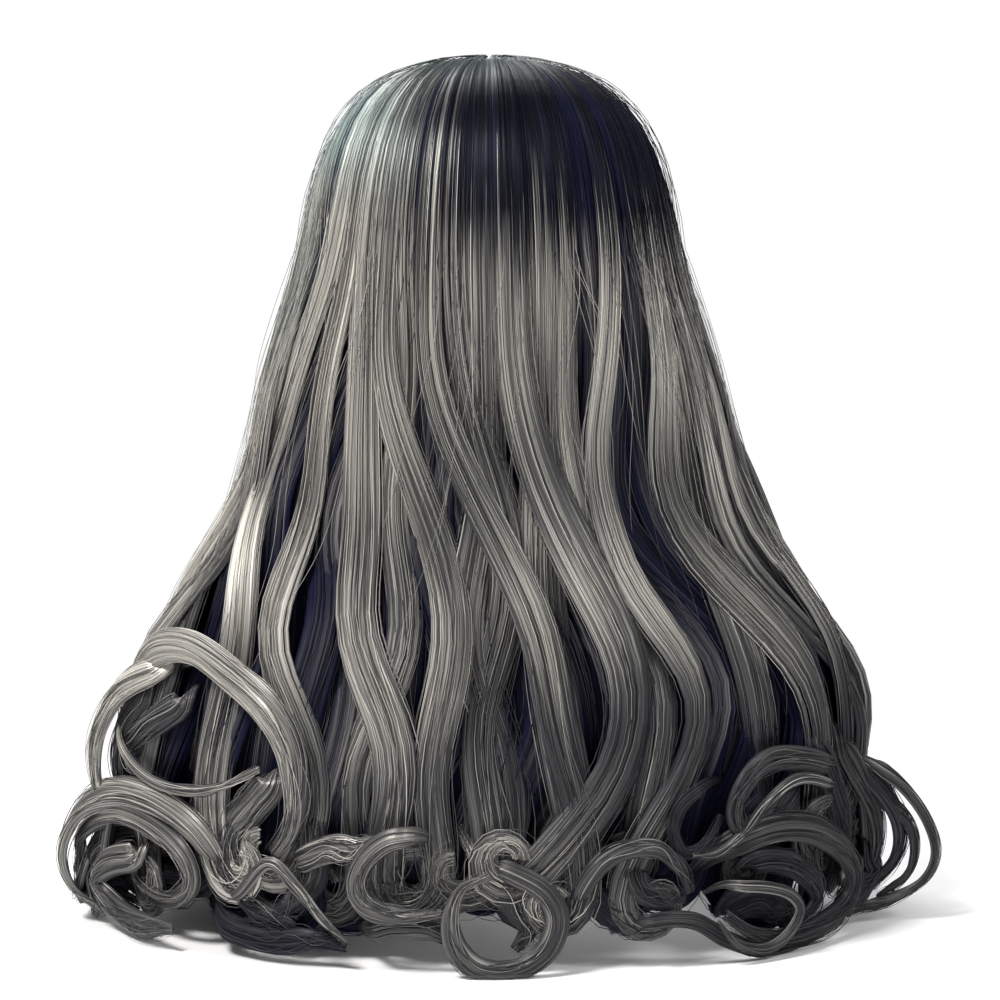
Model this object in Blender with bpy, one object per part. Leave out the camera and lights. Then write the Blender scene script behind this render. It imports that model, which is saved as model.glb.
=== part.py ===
"""Long wavy costume wig: a sewn cap with bands, wefts, combs and adjusters, and the hair that hangs from it.

Metres. +Z is up, the face looks along -Y and the wearer's left is +X. The origin is the middle of the
head opening at ear level. Azimuths are degrees round the head from the nape, positive towards the left.
"""

import math

import bmesh
import bpy
from mathutils import Matrix, Vector

# The head that the cap is cut for: an ellipsoid whose lower half is longer than its upper half.
HEAD_HALF_WIDTH = 0.077
HEAD_HALF_DEPTH = 0.098
HEAD_RISE = 0.128
HEAD_DROP = 0.150

# The cap's lower edge: azimuth from the nape, and height above the ears.
RIM_LINE = (
    (0, -0.052),
    (30, -0.050),
    (50, -0.042),
    (64, -0.018),
    (80, 0.004),
    (104, 0.004),
    (124, 0.036),
    (180, 0.052),
)
CAP_THICKNESS = 0.0010
SEAM_GAP = 0.0005
NAPE_BAND_AZIMUTH = 65
NAPE_BAND_HEIGHT = 0.030
SIDE_BAND_AZIMUTH = 115
SIDE_BAND_HEIGHT = 0.014
FRONT_BAND_HEIGHT = 0.020
CROWN_NET_HEIGHT = 0.060
RIB_WIDTH = 0.010
RIB_GAP = 0.0012
RIB_AZIMUTHS = {"centre": 0, "left": 42, "right": -42}

# Wefts are sewn on the outside of the cap, in level rows.
LAYER_GAP = 0.0006
WEFT_THICKNESS = 0.0020
WEFT_HEIGHT = 0.006
WEFT_HEIGHTS = (-0.014, 0.000, 0.014, 0.028, 0.042, 0.056)
WEFT_REACH_LIMIT = 150

# The scalp-coloured strip under the parting, from over the brow to the crown.
PARTING_HALF_WIDTH = 0.009
PARTING_FRONT = -58
PARTING_BACK = 6
PARTING_THICKNESS = 0.0008

# Ear tabs hang from the side bands in front of the ears, each with a flat stay.
EAR_TAB_AZIMUTH = 92
EAR_TAB_SPREAD = 8.5
EAR_TAB_LENGTH = 0.028
EAR_TAB_GAP = 0.0014
STAY_WIDTH = 0.004
STAY_LENGTH = 0.018
STAY_THICKNESS = 0.0006

# Adjusters run on a circle inside the nape: a strap through a casing, and a hook in a looped sleeve.
ADJUSTER_LOW = -0.030
ADJUSTER_HEIGHT = 0.007
ADJUSTER_INSET = 0.0034
NAPE_FIT = (5, 40)  # the azimuths where the circle meets the head
STRAP_THICKNESS = 0.0010
STRAP_START, STRAP_END = 38.4, 70.0
HOOK_PLATE_START = 34.0
HOOK_PLATE_THICKNESS = 0.0016
TONGUE_START = 17.0
TONGUE_HEIGHT = 0.0030
SLEEVE_START, SLEEVE_END = 3.0, 19.0
CASING_START, CASING_END = 52.0, 62.0
SLEEVE_WALL = 0.0006
SLEEVE_CLEARANCE = 0.0006
LOOP_COUNT = 5
LOOP_BAR = 0.0014

# Combs: the spine is sewn to the cap's inside and the teeth point to the crown.
COMB_LENGTH = 0.034
COMB_SPINE = 0.004
COMB_TOOTH = 0.014
COMB_TEETH = 10
COMB_THICKNESS = 0.0016
COMB_STANDOFF = 0.0042
COMB_PLACES = {  # azimuth and height of the middle of each comb
    "comb_nape_left": (24, 0.006),
    "comb_nape_right": (-24, 0.006),
    "comb_front_left": (152, 0.082),
    "comb_front_right": (-152, 0.082),
}

# The hair. Over the crown its outside is a squarish dome, and below it a bell: height, half width, half depth.
HAIR_ROOT = 0.0050
CROWN_TOP = 0.150
CROWN_HALF_WIDTH = 0.111
CROWN_HALF_DEPTH = 0.123
CROWN_SQUARENESS = 0.72
CROWN_EDGE = 0.035
FOREHEAD_EDGE = 0.062
FOREHEAD_AZIMUTH = 140
PARTING_GAP = 0.0004
POLE_HOLE = 89.9
FLOOR = -0.365
FALL = (
    (CROWN_EDGE, CROWN_HALF_WIDTH, CROWN_HALF_DEPTH),
    (0.010, 0.119, 0.126),
    (-0.040, 0.134, 0.129),
    (-0.095, 0.147, 0.135),
    (-0.135, 0.160, 0.141),
    (-0.177, 0.189, 0.151),
    (-0.220, 0.212, 0.158),
    (-0.270, 0.215, 0.158),
    (-0.320, 0.211, 0.155),
    (FLOOR, 0.207, 0.152),
)
HAIR_THICKNESS = 0.023
FACE_HALF_GAP = 0.060
TRESS_COUNT = 14
TRESS_GAP = 0.0008

# Curls rest against the hem: where each one starts from across and back, its lift off the floor, its outer
# radius, and the azimuth that it faces. Each slides out along its facing until it clears the bell.
CURL_WIDTH = 0.040
CURL_EYE = 0.007
CURL_GAP = 0.0025
CURL_STEP = 0.001
CURLS = {
    "curl_back_centre": (-0.003, 0.12, 0.0, 0.032, 0),
    "curl_back_small": (0.049, 0.12, 0.040, 0.026, 4),
    "curl_back_left": (0.115, 0.10, 0.0, 0.033, 14),
    "curl_back_right": (-0.078, 0.11, 0.0, 0.030, -8),
    "curl_corner_left": (0.200, 0.04, 0.0, 0.046, 26),
    "curl_corner_right": (-0.160, 0.08, 0.0, 0.040, -16),
    "curl_shoulder_left": (0.158, 0.08, 0.090, 0.043, 26),
    "curl_shoulder_right": (-0.138, 0.08, 0.083, 0.040, -18),
    "curl_side_left": (0.180, 0.01, 0.0, 0.036, 88),
    "curl_side_right": (-0.212, 0.03, 0.0, 0.036, -48),
    "curl_front_left": (0.135, -0.08, 0.0, 0.036, 130),
    "curl_front_right": (-0.180, -0.04, 0.0, 0.034, -108),
    "curl_face_right": (-0.110, -0.11, 0.0, 0.030, -145),
}

AZIMUTH_STEP = 7.5

MATERIALS = {  # colour, roughness, metallic
    "hair": ((0.30, 0.29, 0.28), 0.45, 0.0),
    "root_hair": ((0.035, 0.035, 0.045), 0.45, 0.0),
    "cap_net": ((0.030, 0.028, 0.028), 0.9, 0.0),
    "velvet_band": ((0.045, 0.040, 0.040), 0.95, 0.0),
    "weft_tape": ((0.040, 0.040, 0.045), 0.8, 0.0),
    "scalp_skin": ((0.62, 0.44, 0.34), 0.6, 0.0),
    "elastic": ((0.02, 0.02, 0.02), 0.85, 0.0),
    "hook_plastic": ((0.02, 0.02, 0.022), 0.35, 0.0),
    "comb_plastic": ((0.025, 0.02, 0.018), 0.3, 0.0),
    "steel_stay": ((0.6, 0.6, 0.6), 0.35, 1.0),
}


# Shapes -----------------------------------------------------------------------------------------------


def material(slot):
    found = bpy.data.materials.get(slot)
    if found:
        return found
    made = bpy.data.materials.new(slot)
    made.use_nodes = True
    colour, roughness, metallic = MATERIALS[slot]
    surface = made.node_tree.nodes["Principled BSDF"]
    surface.inputs["Base Color"].default_value = (*colour, 1.0)
    surface.inputs["Roughness"].default_value = roughness
    surface.inputs["Metallic"].default_value = metallic
    return made


def add_object(name, mesh, slot, origin=Vector()):
    """A mesh built in world space becomes an object whose origin is at the given point."""
    bmesh.ops.recalc_face_normals(mesh, faces=mesh.faces)
    bmesh.ops.translate(mesh, vec=-Vector(origin), verts=mesh.verts)
    data = bpy.data.meshes.new(name)
    mesh.to_mesh(data)
    mesh.free()
    data.materials.append(material(slot))
    made = bpy.data.objects.new(name, data)
    made.location = origin
    bpy.context.scene.collection.objects.link(made)
    return made


def quads_between(mesh, first, second, closed):
    """Faces between two equally long rows of vertices."""
    count = len(first)
    for i in range(count if closed else count - 1):
        j = (i + 1) % count
        mesh.faces.new((first[i], first[j], second[j], second[i]))


def thick_sheet(name, inner, outer, slot, ring=False, domed=False, origin=Vector()):
    """The closed solid between two grids of points. A ring joins its ends, and a dome has no hole at its last row."""
    mesh = bmesh.new()
    inner = [[mesh.verts.new(point) for point in row] for row in inner]
    outer = [[mesh.verts.new(point) for point in row] for row in outer]
    for grid in (inner, outer):
        for low, high in zip(grid, grid[1:]):
            quads_between(mesh, low, high, ring)
    quads_between(mesh, inner[0], outer[0], ring)
    if domed:
        mesh.faces.new(inner[-1])
        mesh.faces.new(outer[-1])
    else:
        quads_between(mesh, inner[-1], outer[-1], ring)
    if not ring:
        for end in (0, -1):
            quads_between(mesh, [row[end] for row in inner], [row[end] for row in outer], False)
    return add_object(name, mesh, slot, origin)


def swept_tube(name, loops, slot, origin=Vector()):
    """A solid through equal loops of points, each a list, closed by its two end faces."""
    mesh = bmesh.new()
    rings = [[mesh.verts.new(point) for point in loop] for loop in loops]
    for first, second in zip(rings, rings[1:]):
        quads_between(mesh, first, second, True)
    mesh.faces.new(rings[0])
    mesh.faces.new(rings[-1])
    return add_object(name, mesh, slot, origin)


def steps(start, end, count):
    """count + 1 evenly spaced values from start to end."""
    return [start + (end - start) * i / count for i in range(count + 1)]


def blend(points, at):
    """The value at a place along a line of (place, value...) points, eased between them."""
    if at <= points[0][0]:
        return points[0][1:]
    for (x0, *low), (x1, *high) in zip(points, points[1:]):
        if at <= x1:
            share = (at - x0) / (x1 - x0)
            share = share * share * (3 - 2 * share)
            return [a + (b - a) * share for a, b in zip(low, high)]
    return points[-1][1:]


# The head and the cap's edge --------------------------------------------------------------------------


def direction_at(azimuth, height):
    """The unit direction of the head's point at an azimuth and a height."""
    lift = height / (HEAD_RISE if height > 0 else HEAD_DROP)
    across = math.sqrt(1 - lift * lift)
    turn = math.radians(azimuth)
    return Vector((across * math.sin(turn), across * math.cos(turn), lift))


def direction_over(across, along):
    """The unit direction at angles across the parting and along it from the crown."""
    a, b = math.radians(across), math.radians(along)
    return Vector((math.sin(a) * math.cos(b), math.sin(b), math.cos(a) * math.cos(b)))


def on_head(direction, offset):
    """(point, outward normal) at a distance outside the head."""
    height = HEAD_RISE if direction.z > 0 else HEAD_DROP
    axes = Vector((HEAD_HALF_WIDTH, HEAD_HALF_DEPTH, height))
    normal = Vector(d / a for d, a in zip(direction, axes)).normalized()
    return Vector(d * a for d, a in zip(direction, axes)) + normal * offset, normal


def rim_height(azimuth):
    return blend(RIM_LINE, abs(azimuth))[0]


def band_top(azimuth):
    """The upper edge of whichever band lies at this azimuth."""
    if abs(azimuth) < NAPE_BAND_AZIMUTH:
        return rim_height(azimuth) + NAPE_BAND_HEIGHT
    if abs(azimuth) < SIDE_BAND_AZIMUTH:
        return rim_height(azimuth) + SIDE_BAND_HEIGHT
    return rim_height(azimuth) + FRONT_BAND_HEIGHT


def crown_net_edge(azimuth):
    return max(CROWN_NET_HEIGHT, rim_height(azimuth) + FRONT_BAND_HEIGHT + SEAM_GAP)


def cap_patch(name, start, end, low, high, slot, rows=2, inset=0.0, thickness=CAP_THICKNESS, **more):
    """A piece of the cap between two azimuths and two heights, each height a function of the azimuth."""
    columns = max(1, round(abs(end - start) / AZIMUTH_STEP))
    grids = []
    for offset in (inset, inset + thickness):
        grids.append(
            [
                [
                    on_head(direction_at(a, low(a) + (high(a) - low(a)) * share), offset)[0]
                    for a in steps(start, end, columns)
                ]
                for share in steps(0, 1, rows)
            ]
        )
    return thick_sheet(name, grids[0], grids[1], slot, **more)


# The cap ----------------------------------------------------------------------------------------------


def crown_net():
    """The closed net over the top of the head."""
    top = 86.0
    azimuths = steps(-180, 180, round(360 / AZIMUTH_STEP))[:-1]
    grids = []
    for offset in (0.0, CAP_THICKNESS):
        rows = []
        for share in steps(0, 1, 9):
            row = []
            for azimuth in azimuths:
                low = math.degrees(math.asin(crown_net_edge(azimuth) / HEAD_RISE))
                climb = math.radians(low + (top - low) * share)
                row.append(on_head(direction_at(azimuth, HEAD_RISE * math.sin(climb)), offset)[0])
            rows.append(row)
        grids.append(rows)
    thick_sheet("crown_net", grids[0], grids[1], "cap_net", ring=True, domed=True)


def bands():
    ends = {"left": 1, "right": -1}
    gap = math.degrees(SEAM_GAP / HEAD_HALF_WIDTH)
    cap_patch("nape_band", -NAPE_BAND_AZIMUTH, NAPE_BAND_AZIMUTH, rim_height, band_top_of("nape"), "velvet_band")
    for side, sign in ends.items():
        start = sign * (NAPE_BAND_AZIMUTH + gap)
        end = sign * (SIDE_BAND_AZIMUTH - gap)
        cap_patch(f"side_band_{side}", start, end, rim_height, band_top_of("side"), "velvet_band")
    cap_patch(
        "front_band", SIDE_BAND_AZIMUTH, 360 - SIDE_BAND_AZIMUTH, front_rim, front_top, "velvet_band"
    )


def band_top_of(band):
    height = {"nape": NAPE_BAND_HEIGHT, "side": SIDE_BAND_HEIGHT}[band]
    return lambda azimuth: rim_height(azimuth) + height


def front_rim(azimuth):
    """The rim over the face, where azimuths run on past 180."""
    return rim_height(azimuth if azimuth < 180 else 360 - azimuth)


def front_top(azimuth):
    return front_rim(azimuth) + FRONT_BAND_HEIGHT


def ribs():
    """Ribbons that join the bands to the crown net, under the wefts."""
    half = math.degrees(RIB_WIDTH / 2 / HEAD_HALF_WIDTH)
    for place, azimuth in RIB_AZIMUTHS.items():
        cap_patch(
            f"rib_{place}",
            azimuth - half,
            azimuth + half,
            lambda a: band_top(a) + RIB_GAP,
            lambda a: CROWN_NET_HEIGHT - RIB_GAP,
            "cap_net",
            rows=5,
        )


def weft_reach(height):
    """How far round the head a weft runs before it would leave the cap."""
    azimuth = 0
    while azimuth < WEFT_REACH_LIMIT and rim_height(azimuth + 1) < height - WEFT_HEIGHT / 2:
        azimuth += 1
    return azimuth


def wefts():
    for number, height in enumerate(WEFT_HEIGHTS, 1):
        reach = weft_reach(height)
        cap_patch(
            f"weft_row_{number}",
            -reach,
            reach,
            lambda a, h=height: h - WEFT_HEIGHT / 2,
            lambda a, h=height: h + WEFT_HEIGHT / 2,
            "weft_tape",
            rows=1,
            inset=CAP_THICKNESS + LAYER_GAP,
            thickness=WEFT_THICKNESS,
        )


def parting_skin():
    """A strip on the crown net, straight from the brow to the crown."""
    half = math.degrees(PARTING_HALF_WIDTH / HEAD_HALF_WIDTH)
    low = CAP_THICKNESS + LAYER_GAP
    grids = [
        [
            [on_head(direction_over(across, along), offset)[0] for across in steps(-half, half, 3)]
            for along in steps(PARTING_FRONT, PARTING_BACK, 12)
        ]
        for offset in (low, low + PARTING_THICKNESS)
    ]
    thick_sheet("parting_skin", grids[0], grids[1], "scalp_skin")


def ear_tabs():
    """Rounded tabs under the side bands, and the stays sewn on them. Each turns about the seam above it."""
    stay_half = math.degrees(STAY_WIDTH / 2 / HEAD_HALF_WIDTH)
    for side, sign in {"left": 1, "right": -1}.items():
        middle = sign * EAR_TAB_AZIMUTH
        top = rim_height(middle) - EAR_TAB_GAP
        pivot = on_head(direction_at(middle, top + EAR_TAB_GAP / 2), CAP_THICKNESS / 2)[0]

        def tip(azimuth, middle=middle, top=top):
            share = min(1.0, abs(azimuth - middle) / EAR_TAB_SPREAD)
            return top - EAR_TAB_LENGTH * (0.25 + 0.75 * math.sqrt(1 - share * share))

        width = EAR_TAB_SPREAD
        columns = steps(middle - width, middle + width, 8)
        grids = [
            [
                [on_head(direction_at(a, top + (tip(a) - top) * share), offset)[0] for a in columns]
                for share in steps(0, 1, 3)
            ]
            for offset in (0.0, CAP_THICKNESS)
        ]
        thick_sheet(f"ear_tab_{side}", grids[0], grids[1], "velvet_band", origin=pivot)
        stay_top = top - (EAR_TAB_LENGTH - STAY_LENGTH) / 2
        cap_patch(
            f"ear_stay_{side}",
            middle - stay_half,
            middle + stay_half,
            lambda a, z=stay_top: z - STAY_LENGTH,
            lambda a, z=stay_top: z,
            "steel_stay",
            rows=3,
            inset=CAP_THICKNESS + LAYER_GAP,
            thickness=STAY_THICKNESS,
            origin=pivot,
        )


# Adjusters --------------------------------------------------------------------------------------------


def nape_circle():
    """(y of the centre, radius) of the circle that fits the inside of the nape at the adjusters' height."""
    height = ADJUSTER_LOW + ADJUSTER_HEIGHT / 2
    near, far = (on_head(direction_at(azimuth, height), 0.0)[0] for azimuth in NAPE_FIT)
    centre = (near.x**2 + near.y**2 - far.x**2 - far.y**2) / (2 * (near.y - far.y))
    return centre, math.hypot(near.x, near.y - centre)


def round_nape(turn, radius, height):
    """A point on a circle about the adjusters' axis."""
    angle = math.radians(turn)
    return Vector((radius * math.sin(angle), nape_circle()[0] + radius * math.cos(angle), height))


def arc_box(name, turns, radii, heights, slot, sign, origin):
    """A rectangular bar bent round the nape."""
    inner, outer = radii
    low, high = heights
    corners = ((inner, low), (outer, low), (outer, high), (inner, high))
    loops = [
        [round_nape(sign * turn, radius, height) for radius, height in corners]
        for turn in steps(*turns, max(1, round((turns[1] - turns[0]) / AZIMUTH_STEP)))
    ]
    return swept_tube(name, loops, slot, origin)


def arc_sleeve(name, turns, radii, heights, slot, sign):
    """A flat tube bent round the nape, open at both ends."""
    wall = SLEEVE_WALL
    mesh = bmesh.new()
    sections = []
    for turn in steps(*turns, max(1, round((turns[1] - turns[0]) / AZIMUTH_STEP))):
        loops = []
        for grow in (0.0, wall):
            r0, r1 = radii[0] - grow, radii[1] + grow
            z0, z1 = heights[0] - grow, heights[1] + grow
            corners = ((r0, z0), (r1, z0), (r1, z1), (r0, z1))
            loops.append([mesh.verts.new(round_nape(sign * turn, r, z)) for r, z in corners])
        sections.append(loops)
    for first, second in zip(sections, sections[1:]):
        for layer in (0, 1):
            quads_between(mesh, first[layer], second[layer], True)
    for section in (sections[0], sections[-1]):
        quads_between(mesh, section[0], section[1], True)
    return add_object(name, mesh, slot)


def hide_cutter(cutter):
    cutter.hide_render = True
    cutter.display_type = "WIRE"


def adjusters():
    centre, fitted = nape_circle()
    middle = fitted - ADJUSTER_INSET
    low, high = ADJUSTER_LOW, ADJUSTER_LOW + ADJUSTER_HEIGHT
    origin = Vector((0, centre, (low + high) / 2))

    def radii(thickness):
        return middle - thickness / 2, middle + thickness / 2

    half = HOOK_PLATE_THICKNESS / 2 + SLEEVE_CLEARANCE
    inside = (middle - half, middle + half)
    heights = (low - SLEEVE_CLEARANCE, high + SLEEVE_CLEARANCE)
    for side, sign in {"left": 1, "right": -1}.items():
        strap_ends = (STRAP_START, STRAP_END)
        arc_box(f"adjuster_strap_{side}", strap_ends, radii(STRAP_THICKNESS), (low, high), "elastic", sign, origin)
        hook(side, sign, middle, origin)
        sleeve_ends = (SLEEVE_START, SLEEVE_END)
        sleeve = arc_sleeve(f"loop_sleeve_{side}", sleeve_ends, inside, heights, "weft_tape", sign)
        cut_loops(sleeve, side, sign, inside[0], heights)
        arc_sleeve(f"strap_casing_{side}", (CASING_START, CASING_END), inside, heights, "velvet_band", sign)


def hook(side, sign, middle, origin):
    """A plate at the end of the strap, drawn down to a narrow tongue."""
    half_plate = HOOK_PLATE_THICKNESS / 2
    centre = ADJUSTER_LOW + ADJUSTER_HEIGHT / 2
    plate_end = STRAP_START - math.degrees(SEAM_GAP / middle)
    neck = HOOK_PLATE_START - 2.0
    profile = (  # place round the nape, half height, half thickness
        (TONGUE_START, TONGUE_HEIGHT * 0.30, half_plate * 0.5),
        (TONGUE_START + 1.5, TONGUE_HEIGHT / 2, half_plate * 0.6),
        ((TONGUE_START + neck) / 2, TONGUE_HEIGHT / 2, half_plate * 0.6),
        (neck, TONGUE_HEIGHT / 2, half_plate * 0.6),
        (HOOK_PLATE_START, ADJUSTER_HEIGHT / 2, half_plate),
        (plate_end, ADJUSTER_HEIGHT / 2, half_plate),
    )
    loops = [
        [
            round_nape(sign * turn, middle + across * thick, centre + up * tall)
            for across, up in ((-1, -1), (1, -1), (1, 1), (-1, 1))
        ]
        for turn, tall, thick in profile
    ]
    swept_tube(f"adjuster_hook_{side}", loops, "hook_plastic", origin)


def cut_loops(sleeve, side, sign, radius, heights):
    """Windows through the sleeve's inner wall leave a row of loops."""
    pitch = (SLEEVE_END - SLEEVE_START) / LOOP_COUNT
    bar = math.degrees(LOOP_BAR / radius)
    for number in range(LOOP_COUNT):
        start = SLEEVE_START + pitch * number + bar / 2
        turns = (start, start + pitch - bar)
        deep = (radius - 4 * SLEEVE_WALL, radius + SLEEVE_CLEARANCE / 2)
        tall = (heights[0] + SLEEVE_WALL, heights[1] - SLEEVE_WALL)
        cutter = arc_box(f"loop_cutter_{side}_{number}", turns, deep, tall, "weft_tape", sign, Vector())
        hide_cutter(cutter)
        cut = sleeve.modifiers.new(f"loop_{number}", "BOOLEAN")
        cut.operation = "DIFFERENCE"
        cut.solver = "EXACT"
        cut.object = cutter


# Combs ------------------------------------------------------------------------------------------------


def comb(name, azimuth, height):
    """A flat comb: the outline of a spine with teeth, made solid, its origin on the line that it is sewn along."""
    pitch = COMB_LENGTH / (COMB_TEETH - 0.5)
    tooth, gap = pitch / 2, pitch / 2
    left = -COMB_LENGTH / 2
    outline = [(left, 0.0), (-left, 0.0), (-left, COMB_SPINE)]
    for number in reversed(range(COMB_TEETH)):
        start = left + number * (tooth + gap)
        tip = COMB_SPINE + COMB_TOOTH
        end = start + tooth
        outline += [(end, COMB_SPINE), (end - tooth * 0.25, tip), (start + tooth * 0.25, tip), (start, COMB_SPINE)]
    outline = [point for i, point in enumerate(outline) if point != outline[i - 1]]
    mesh = bmesh.new()
    # The sewn line is the spine's lower edge, half way through its thickness.
    face = mesh.faces.new([mesh.verts.new((x, y, -COMB_THICKNESS / 2)) for x, y in outline])
    grown = bmesh.ops.extrude_face_region(mesh, geom=[face])
    top = [item for item in grown["geom"] if isinstance(item, bmesh.types.BMVert)]
    bmesh.ops.translate(mesh, vec=(0, 0, COMB_THICKNESS), verts=top)
    made = add_object(name, mesh, "comb_plastic")
    made.matrix_world = comb_place(azimuth, height)


def comb_place(azimuth, height):
    """X along the spine, Y along the teeth, Z out of the head, with the comb's middle under the cap."""
    middle, normal = on_head(direction_at(azimuth, height), -COMB_STANDOFF)
    turn = math.radians(azimuth)
    along = Vector((math.cos(turn), -math.sin(turn), 0.0))
    along = (along - normal * along.dot(normal)).normalized()
    up = along.cross(normal)
    if up.z < 0:
        along, up = -along, -up
    sewn = middle - up * (COMB_SPINE + COMB_TOOTH) / 2
    axes = Matrix((along, up, along.cross(up))).transposed().to_4x4()
    return Matrix.Translation(sewn) @ axes


# The hair ---------------------------------------------------------------------------------------------


def hair_dome(azimuth, climb):
    """A point on the hair's outside over the crown, by its angle of climb from the widest level."""
    turn, rise = math.radians(azimuth), math.radians(climb)
    across = math.cos(rise) ** CROWN_SQUARENESS
    return Vector(
        (
            CROWN_HALF_WIDTH * across * math.sin(turn),
            CROWN_HALF_DEPTH * across * math.cos(turn),
            CROWN_TOP * math.sin(rise) ** CROWN_SQUARENESS,
        )
    )


def hairline(azimuth):
    """The height of the crown hair's lower edge: level, and higher over the forehead."""
    points = ((FOREHEAD_AZIMUTH, CROWN_EDGE), (180, FOREHEAD_EDGE))
    return blend(points, abs(azimuth))[0]


def crown_hair(name, sign):
    """Half of the hair over the crown, from the parting down to where the tresses start."""
    rows, columns = 6, 15
    gap = math.degrees(PARTING_GAP / CROWN_HALF_DEPTH)
    inner, outer = [], []
    for share in steps(0, 1, rows):
        inner_row, outer_row = [], []
        for azimuth in steps(gap, 180 - gap, columns):
            edge = hairline(azimuth)
            low_inner = math.degrees(math.asin(edge / HEAD_RISE))
            low_outer = math.degrees(math.asin((edge / CROWN_TOP) ** (1 / CROWN_SQUARENESS)))
            climb = math.radians(low_inner + (POLE_HOLE - low_inner) * share)
            direction = direction_at(sign * azimuth, HEAD_RISE * math.sin(climb))
            inner_row.append(on_head(direction, HAIR_ROOT)[0])
            outer_row.append(hair_dome(sign * azimuth, low_outer + (POLE_HOLE - low_outer) * share))
        inner.append(inner_row)
        outer.append(outer_row)
    # A bevelled parting: no point of one half passes the middle plane.
    for row in inner + outer:
        for point in row:
            point.x = sign * max(sign * point.x, PARTING_GAP / 2)
    thick_sheet(name, inner, outer, "root_hair")


def fall_at(height):
    """(half width, half depth) of the bell at a height."""
    rows = [(-z, width, depth) for z, width, depth in FALL]
    return blend(rows, -height)


def tress_azimuth(share, height):
    """Where the hair at a share from the back (0) to either edge of the face (-1 or 1) hangs at a height."""
    half_width = fall_at(height)[0]
    return share * (180 - math.degrees(math.asin(FACE_HALF_GAP / half_width)))


def tresses():
    """Panels of hair from the crown hair's edge to the floor, side by side round the bell."""
    columns = 3
    for number in range(TRESS_COUNT):
        start = -1 + 2 * number / TRESS_COUNT
        end = start + 2 / TRESS_COUNT
        inner, outer = [], []
        for height, half_width, half_depth in FALL:
            trim = math.degrees(TRESS_GAP / 2 / half_depth)
            azimuths = steps(tress_azimuth(start, height) + trim, tress_azimuth(end, height) - trim, columns)
            if height == CROWN_EDGE:
                height -= LAYER_GAP
            inner.append([inside_point(a, height, half_width, half_depth) for a in azimuths])
            outer.append([bell_point(a, height, half_width, half_depth, 0.0) for a in azimuths])
        thick_sheet(tress_name(number), inner, outer, "hair")


def tress_name(number):
    """Tresses are numbered from the face to the nape on each side."""
    half = TRESS_COUNT // 2
    if number < half:
        return f"tress_right_{number + 1}"
    return f"tress_left_{TRESS_COUNT - number}"


def inside_point(azimuth, height, half_width, half_depth):
    """The inside of the fall: its roots at the crown's edge, then its thickness in, but never nearer the cap."""
    inner = bell_point(azimuth, height, half_width, half_depth, HAIR_THICKNESS)
    if height < -HEAD_DROP / 2:
        return inner
    root = on_head(direction_at(azimuth, height), HAIR_ROOT)[0]
    root.z = height
    at_edge = height > CROWN_EDGE - 2 * LAYER_GAP
    return root if at_edge or root.xy.length > inner.xy.length else inner


def bell_point(azimuth, height, half_width, half_depth, depth):
    turn = math.radians(azimuth)
    return Vector(((half_width - depth) * math.sin(turn), (half_depth - depth) * math.cos(turn), height))


def in_bell(point, gap):
    """Whether a point is in the bell or nearer to it than a gap, going by its level outline."""
    half_width, half_depth = fall_at(point.z)
    return math.hypot(point.x / (half_width + gap), point.y / (half_depth + gap)) < 1


def curls():
    """Rings of curled hair standing on edge."""
    for name, (across, back, lift, radius, facing) in CURLS.items():
        turn = math.radians(facing)
        outward = Vector((math.sin(turn), math.cos(turn), 0))
        mesh = curl_ring(radius, outward)
        centre = Vector((across, back, FLOOR + lift + radius))
        while any(in_bell(centre + vertex.co, CURL_GAP) for vertex in mesh.verts):
            centre += outward * CURL_STEP
        bmesh.ops.translate(mesh, vec=centre, verts=mesh.verts)
        add_object(name, mesh, "hair", origin=centre)


def curl_ring(radius, outward):
    """A ring about an axis through the origin, with an oval section."""
    turns, corners = 14, 8
    mesh = bmesh.new()
    middle, half_thick = (radius + CURL_EYE) / 2, (radius - CURL_EYE) / 2
    for corner in range(corners):
        angle = 2 * math.pi * corner / corners
        reach = middle + half_thick * math.cos(angle)
        mesh.verts.new(outward * CURL_WIDTH / 2 * math.sin(angle) + Vector((0, 0, reach)))
    mesh.verts.ensure_lookup_table()
    edges = [mesh.edges.new((mesh.verts[i - 1], mesh.verts[i])) for i in range(corners)]
    outline = mesh.verts[:] + edges
    bmesh.ops.spin(mesh, geom=outline, axis=outward, angle=2 * math.pi, steps=turns, use_merge=True)
    bmesh.ops.remove_doubles(mesh, verts=mesh.verts, dist=1e-6)
    return mesh


def clear_scene():
    for thing in list(bpy.data.objects):
        bpy.data.objects.remove(thing, do_unlink=True)


def main():
    clear_scene()
    crown_net()
    bands()
    ribs()
    wefts()
    parting_skin()
    ear_tabs()
    adjusters()
    for name, (azimuth, height) in COMB_PLACES.items():
        comb(name, azimuth, height)
    for name, sign in {"crown_hair_left": 1, "crown_hair_right": -1}.items():
        crown_hair(name, sign)
    tresses()
    curls()


main()
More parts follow.
